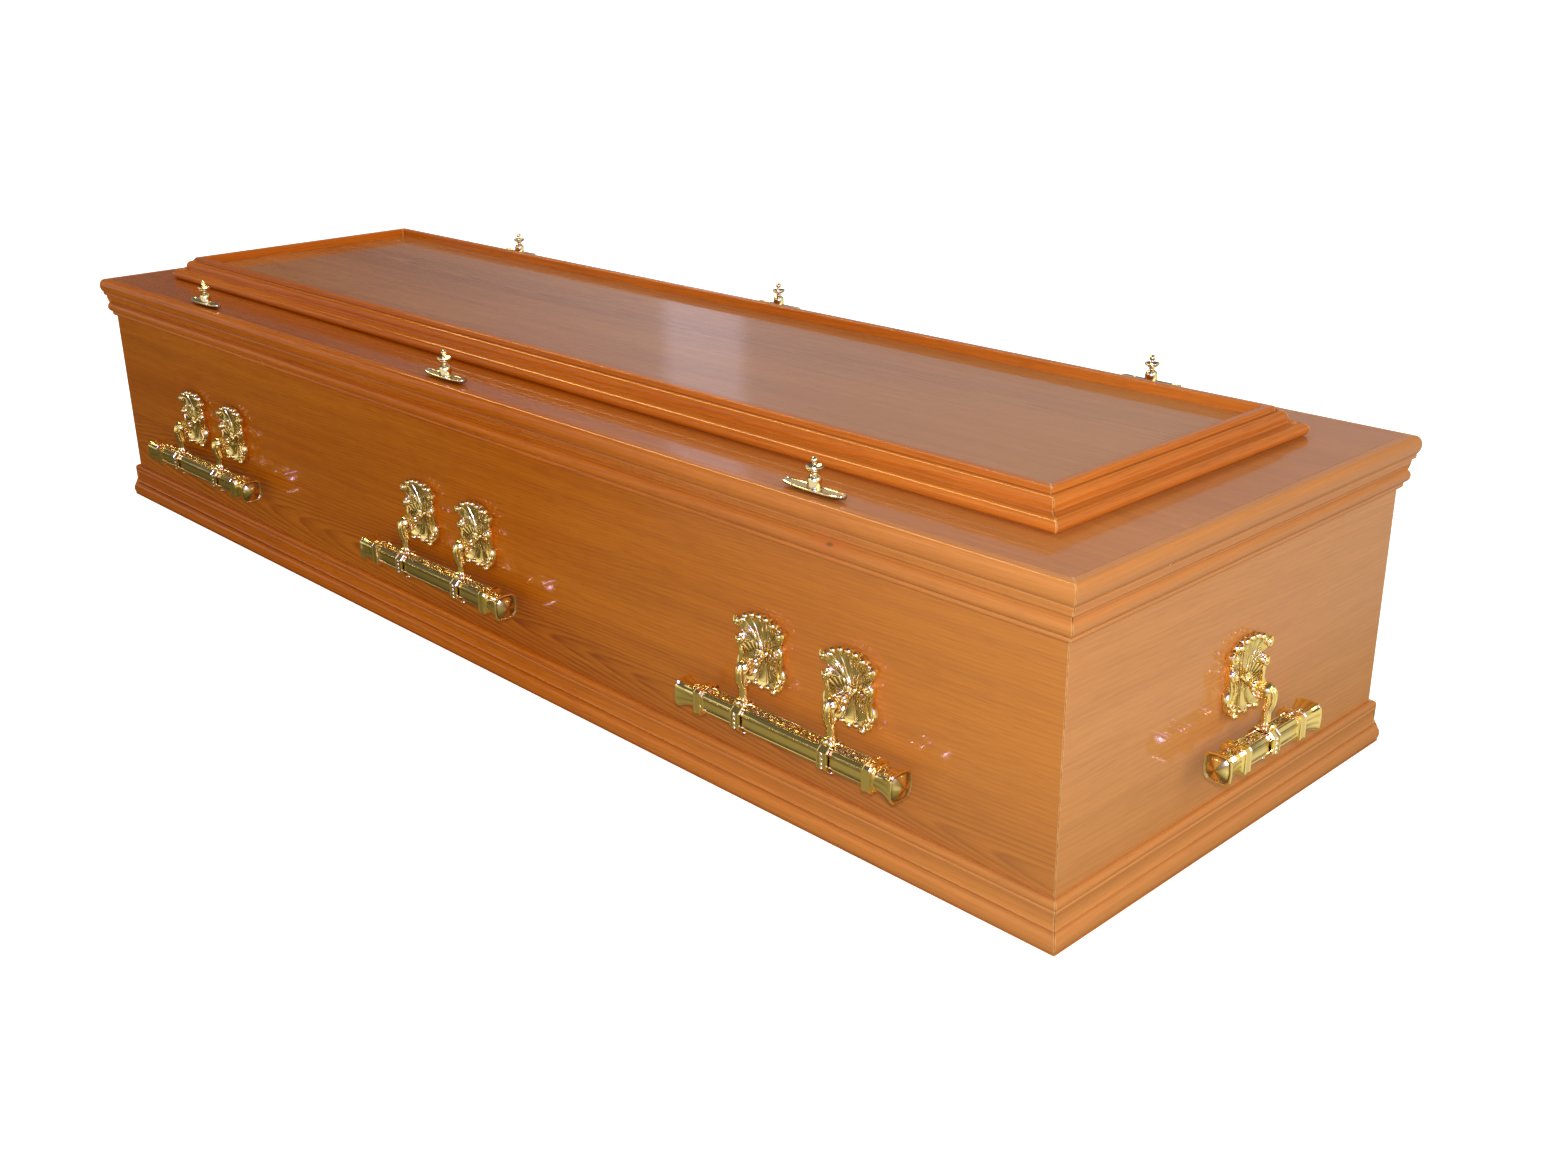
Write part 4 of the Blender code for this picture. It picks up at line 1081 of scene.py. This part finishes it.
def under_leaf():
    """A leaf that springs from under the arm's first knob and curls into a small scroll."""
    corners = [(0.0, -0.0120, 0.0540), (0.0, -0.0165, 0.0480), (0.0, -0.0205, 0.0440), (0.0, -0.0240, 0.0450),
               (0.0, -0.0235, 0.0480)]
    path, length = smooth_path(corners, 26)
    share = length / length[-1]
    leaf = tube(path, 0.0030 - 0.0012 * share, (1.0, 0.0, 0.0), sides=14, leaves=4, depth=0.2, squash=1.4)
    return [leaf, knob((0.0, -0.0222, 0.0470), 0.0030, leaves=4, depth=0.3, sides=20)]


def band_form():
    """The bar's outline grown by the gap and the band's thickness, carried across the band's width.

    The two thinnest rows are the grooves inside the beads, and they carry painted shade.
    """
    inner = BAR_HALF + GAP
    half = mm((0.0, 2.3), (2.6, 2.0), (5.0, 1.5), (5.6, 2.5), (6.5, 2.5), (7.0, 1.9), (7.0, 0.0))
    stations = np.concatenate([half[:0:-1] * (-1, 1), half])
    rows = [points_at(across, *eight_sided(inner + thick, 0.41).T) for across, thick in stations]
    grid = np.stack(rows + rows[:1]) - np.array([0.0, BAR_OUT, 0.0])
    dark = np.zeros(grid.shape[:2])
    dark[:-1][stations[:, 1] == half[2, 1]] = 0.9
    return part_from_grid(grid, caps=False, crevice=dark)


def band_ornament():
    """Three leaves that spread from the collar over the band, and leafy studs down its front."""
    parts = []
    for spread in (-1, 0, 1):
        share = np.linspace(0, 1, 14)
        across = spread * 0.0060 * share
        up = BAR_HALF + 0.0036 + 0.0065 * (1 - share) - 0.0012 * share
        out = BAR_OUT + 0.0030 + 0.0070 * np.sin(share * math.pi / 2) * (1 - 0.25 * abs(spread))
        path = points_at(across, -out, up)
        thick = 0.0022 * np.sin(np.clip(share, 0.06, 0.97) * math.pi) ** 0.7 + 0.0003
        parts.append(tube(path, thick, (1.0, 0.0, 0.0), sides=12, squash=1.25))
    for up in (0.0066, 0.0014, -0.0038, -0.0086):
        parts.append(knob((0.0, -BAR_OUT - BAR_HALF - 0.0016, up), 0.0022, leaves=6, depth=0.22, sides=24))
    return parts


def drop_form():
    """The knob under the band: collar, neck and a drop, turned about the vertical."""
    below = -BAR_HALF - 0.0026
    section = [(0.0050, below + 0.0008), (0.0056, below - 0.0004), (0.0044, below - 0.0010), (0.0034, below - 0.0014),
               (0.0042, below - 0.0022), (0.0046, below - 0.0032), (0.0040, below - 0.0044), (0.0024, below - 0.0052),
               (0.0006, below - 0.0055)]
    return turned_form(section, 28, centre=(0.0, -BAR_OUT, 0.0))


ON_WALL = [shell_form()] + side_scrolls()
OFF_WALL = arm_form() + [band_form(), drop_form()] + under_leaf() + band_ornament()
BRACKET = joined(ON_WALL + OFF_WALL)
for bracket_name in sorted(name for name in frame["nodes"] if name.startswith("handle_bracket_")):
    side = bracket_name.split("_")[2]
    low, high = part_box(bracket_name)
    middle = (low + high) / 2
    spot = {
        "front": (middle.x, -HALF_WIDTH, BAR_HEIGHT), "back": (middle.x, HALF_WIDTH, BAR_HEIGHT),
        "right": (HALF_LENGTH, middle.y, BAR_HEIGHT), "left": (-HALF_LENGTH, middle.y, BAR_HEIGHT),
    }[side]
    make_piece(f"{bracket_name}_cast", moved(BRACKET, FACING[side], spot), GILT, [bracket_name], 34.0)
print("bracket:", TRIANGLES[-1], "triangles each;", sum(TRIANGLES), "in all")

# %% [markdown]
# The coffin stands on a plain pale floor. Polished metal and lacquer show what stands round them, so the floor
# and the room matter as much as the lamps. The camera sees the floor white. In mirrors it is dim beside the
# coffin and bright further out, and to dull surfaces it gives an even grey light.

# %% Floor
FLOOR_HALF = 80.0


def make_floor():
    """A large flat sheet: white to the camera, and dimmer in mirrors and as a source of light."""
    mesh = bpy.data.meshes.new("floor")
    corners = [(x * FLOOR_HALF, y * FLOOR_HALF, 0.0) for x, y in ((-1, -1), (1, -1), (1, 1), (-1, 1))]
    mesh.from_pydata(corners, [], [(0, 1, 2, 3)])
    material, tree, shader, place = shader_of("pale_floor")
    fill(tree, shader, {
        "Base Color": (0.86, 0.86, 0.86, 1.0), "Roughness": 0.8,
        "Emission Color": (1.0, 1.0, 1.0, 1.0), "Emission Strength": 0.80,
    })
    x, y, _ = parts_of(tree, place)
    further = ramp(tree, x, -0.2, -1.2, 0.0, 0.8)
    in_front = ramp(tree, calc(tree, "SUBTRACT", calc(tree, "ABSOLUTE", y), further), 0.75, 1.3)
    lit = calc(tree, "MAXIMUM", in_front, ramp(tree, x, 1.0, 1.2))
    colour = mix(tree, ramp(tree, x, -0.4, 0.6), (0.12, 0.10, 0.05, 1.0), (0.32, 0.28, 0.17, 1.0))
    colour = mix(tree, lit, colour, (0.90, 0.86, 0.78, 1.0))
    mirrored = add(tree, "ShaderNodeEmission", {"Color": colour, "Strength": 1.0})
    lighting = add(tree, "ShaderNodeEmission", {"Color": (0.34, 0.33, 0.32, 1.0), "Strength": 1.0})
    ray = add(tree, "ShaderNodeLightPath").outputs
    seen = add(tree, "ShaderNodeMixShader", {0: ray["Is Diffuse Ray"], 1: shader.outputs[0], 2: lighting.outputs[0]})
    chosen = add(tree, "ShaderNodeMixShader", {0: ray["Is Glossy Ray"], 1: seen.outputs[0], 2: mirrored.outputs[0]})
    fill(tree, tree.nodes["Material Output"], {"Surface": chosen.outputs[0]})
    mesh.materials.append(material)
    floor = place_object("floor", mesh)


make_floor()
print("floor reaches", FLOOR_HALF, "m each way")

# %% [markdown]
# The surroundings are a sky without a picture: the colour depends only on the direction, cut into soft zones.
# They are dim, but bright beyond the far left corner, where the sunk panel mirrors them, and bright low down in
# front, where the castings do. The camera itself sees plain white behind the coffin, as in a shop's picture.


# %% Surroundings
def zone(tree, value, low, high, soft):
    """1 between low and high, falling to 0 over the soft edge on both sides."""
    rise = ramp(tree, value, low - soft, low)
    return product(tree, rise, ramp(tree, value, high + soft, high))


def make_surroundings():
    """Light by direction = a dim ground tone + soft zones, each a zone across times a zone in height.

    To the camera itself the surroundings are plain white.
    """
    world = bpy.data.worlds.new("studio")
    bpy.context.scene.world = world
    world.use_nodes = True
    tree = world.node_tree
    x, y, z = parts_of(tree, add(tree, "ShaderNodeTexCoord").outputs["Generated"])
    back_left = product(tree, calc(tree, "SUBTRACT", y, x), math.sqrt(0.5))
    right_back = product(tree, calc(tree, "ADD", y, x), math.sqrt(0.5))
    sideways = calc(tree, "DIVIDE", right_back, calc(tree, "MAXIMUM", back_left, 0.01))
    colour = mix(tree, ramp(tree, z, 0.0, 0.9), DIM_LOW, DIM_HIGH)
    seen = add(tree, "ShaderNodeLightPath").outputs["Is Camera Ray"]
    for value, low, high, soft, floor_z, top_z, soft_z, added in ZONES:
        across = {"sideways": sideways, "front": product(tree, y, -1.0), "right": x}[value]
        share = product(tree, zone(tree, across, low, high, soft), zone(tree, z, floor_z, top_z, soft_z))
        if value == "sideways":
            share = product(tree, share, ramp(tree, back_left, 0.02, 0.1))
        colour = mix(tree, share, colour, added, "ADD")
    colour = mix(tree, seen, colour, (1.0, 1.0, 1.0, 1.0))
    fill(tree, tree.nodes["Background"], {"Color": colour})


DIM_LOW = (0.12, 0.115, 0.11, 1.0)
DIM_HIGH = (0.12, 0.12, 0.13, 1.0)
# Each zone: the value it is cut from with its low, high and soft edge, the same for height, and its colour
ZONES = (
    ("sideways", -0.10, 1.2, 0.22, 0.12, 0.50, 0.10, (0.42, 0.40, 0.42, 1.0)),
    ("sideways", -0.084, -0.046, 0.010, 0.14, 0.34, 0.03, (0.46, 0.47, 0.58, 1.0)),
    ("front", 0.45, 1.1, 0.25, 0.08, 0.30, 0.06, (0.95, 0.92, 0.88, 1.0)),
    ("right", 0.45, 1.1, 0.25, 0.00, 0.72, 0.06, (0.62, 0.60, 0.56, 1.0)),
)
make_surroundings()
print("surroundings:", len(ZONES), "soft zones of light")

# %% [markdown]
# A small lamp beside the camera lights the near corner most and leaves the far end darker. A long strip
# overhead is only there to be mirrored: it draws the thin bright lines along the mouldings. Two bluish cards
# beside the camera reach only the castings and put the sparkle on them.


# %% Lamps
def soft_light(name, spot, target, size, watts, colour=(1.0, 1.0, 1.0), kind="both", long=None, only=None):
    """An area light that faces the target, or lies level and long along X.

    Its kind says if it is mirrored, gives dull light, or both. With only, it reaches just that collection.
    """
    light = bpy.data.lights.new(name, "AREA")
    light.shape = "RECTANGLE"
    light.size = long or size
    light.size_y = size
    light.energy = watts
    light.color = colour
    lamp = place_object(name, light)
    lamp.visible_diffuse = kind != "mirrored"
    lamp.visible_glossy = kind != "dull"
    if only:
        lamp.light_linking.receiver_collection = only
    turn = Matrix.Identity(3) if long else (Vector(target) - Vector(spot)).to_track_quat("-Z", "Y").to_matrix()
    lamp.matrix_world = Matrix.Translation(spot) @ turn.to_4x4()


castings = bpy.data.collections.new("castings")
for piece in bpy.data.objects:
    if piece.type == "MESH" and piece.material_slots and piece.material_slots[0].material in (GILT, GILT_SCREW_PAINTED_PALE):
        castings.objects.link(piece)
BESIDE_CAMERA, NEAR_CORNER = (1.76, -1.44, 1.00), (0.5, -0.2, 0.2)
soft_light("flash", (1.78, -1.42, 0.98), (0.3, 0.0, 0.2), 0.10, 23.0, (1.0, 0.97, 0.93))
soft_light("key", (3.4, 0.4, 1.9), (0.5, 0.0, 0.2), 1.6, 20.0, (1.0, 0.97, 0.94))
soft_light("fill", (-1.5, -4.0, 2.5), (0.0, 0.0, 0.2), 2.0, 12.0)
soft_light("rear", (-1.2, 4.0, 2.2), (0.0, 0.0, 0.2), 2.0, 34.0, kind="dull")
soft_light("above", (-1.2, 0.3, 2.8), (-0.8, 0.0, 0.4), 2.0, 30.0, kind="dull")
soft_light("strip", (-2.4, 0.0, 3.0), None, 0.5, 125.0, (1.0, 0.74, 0.38), kind="mirrored", long=3.4)
soft_light("sparkle", BESIDE_CAMERA, NEAR_CORNER, 0.55, 36.0, (0.30, 0.30, 1.0), kind="mirrored", only=castings)
soft_light("violet", (1.82, -1.50, 1.02), NEAR_CORNER, 1.10, 80.0, (0.09, 0.05, 1.0), kind="mirrored", only=castings)

# %% [markdown]
# The camera stands at the near right-hand corner and looks down at about 21 degrees. Its place and lens were
# fitted to the corners of the coffin in the photograph.

# %% Camera
CAMERA_PLACE = (1.7413, -1.3873, 0.8831)
CAMERA_ANGLES = (0.8023, 0.3698, -0.0101)
FOCAL_PIXELS, IMAGE_WIDTH, SENSOR = 1641.7, 1568.0, 36.0


def make_camera():
    """Axes from the angles: look along yaw and pitch, then roll the right and up axes about that line."""
    yaw, pitch, roll = CAMERA_ANGLES
    look = Vector((-math.sin(yaw) * math.cos(pitch), math.cos(yaw) * math.cos(pitch), -math.sin(pitch)))
    level = Vector((math.cos(yaw), math.sin(yaw), 0.0))
    upright = level.cross(look)
    right = level * math.cos(roll) + upright * math.sin(roll)
    up = upright * math.cos(roll) - level * math.sin(roll)
    data = bpy.data.cameras.new("camera")
    data.sensor_width = SENSOR
    data.sensor_fit = "HORIZONTAL"
    data.lens = FOCAL_PIXELS / IMAGE_WIDTH * SENSOR
    data.clip_end = 100.0
    camera = place_object("camera", data)
    camera.matrix_world = Matrix.Translation(CAMERA_PLACE) @ Matrix((right, up, -look)).transposed().to_4x4()
    bpy.context.scene.camera = camera


make_camera()
bpy.context.scene.view_settings.view_transform = "Standard"
print("camera at", CAMERA_PLACE)
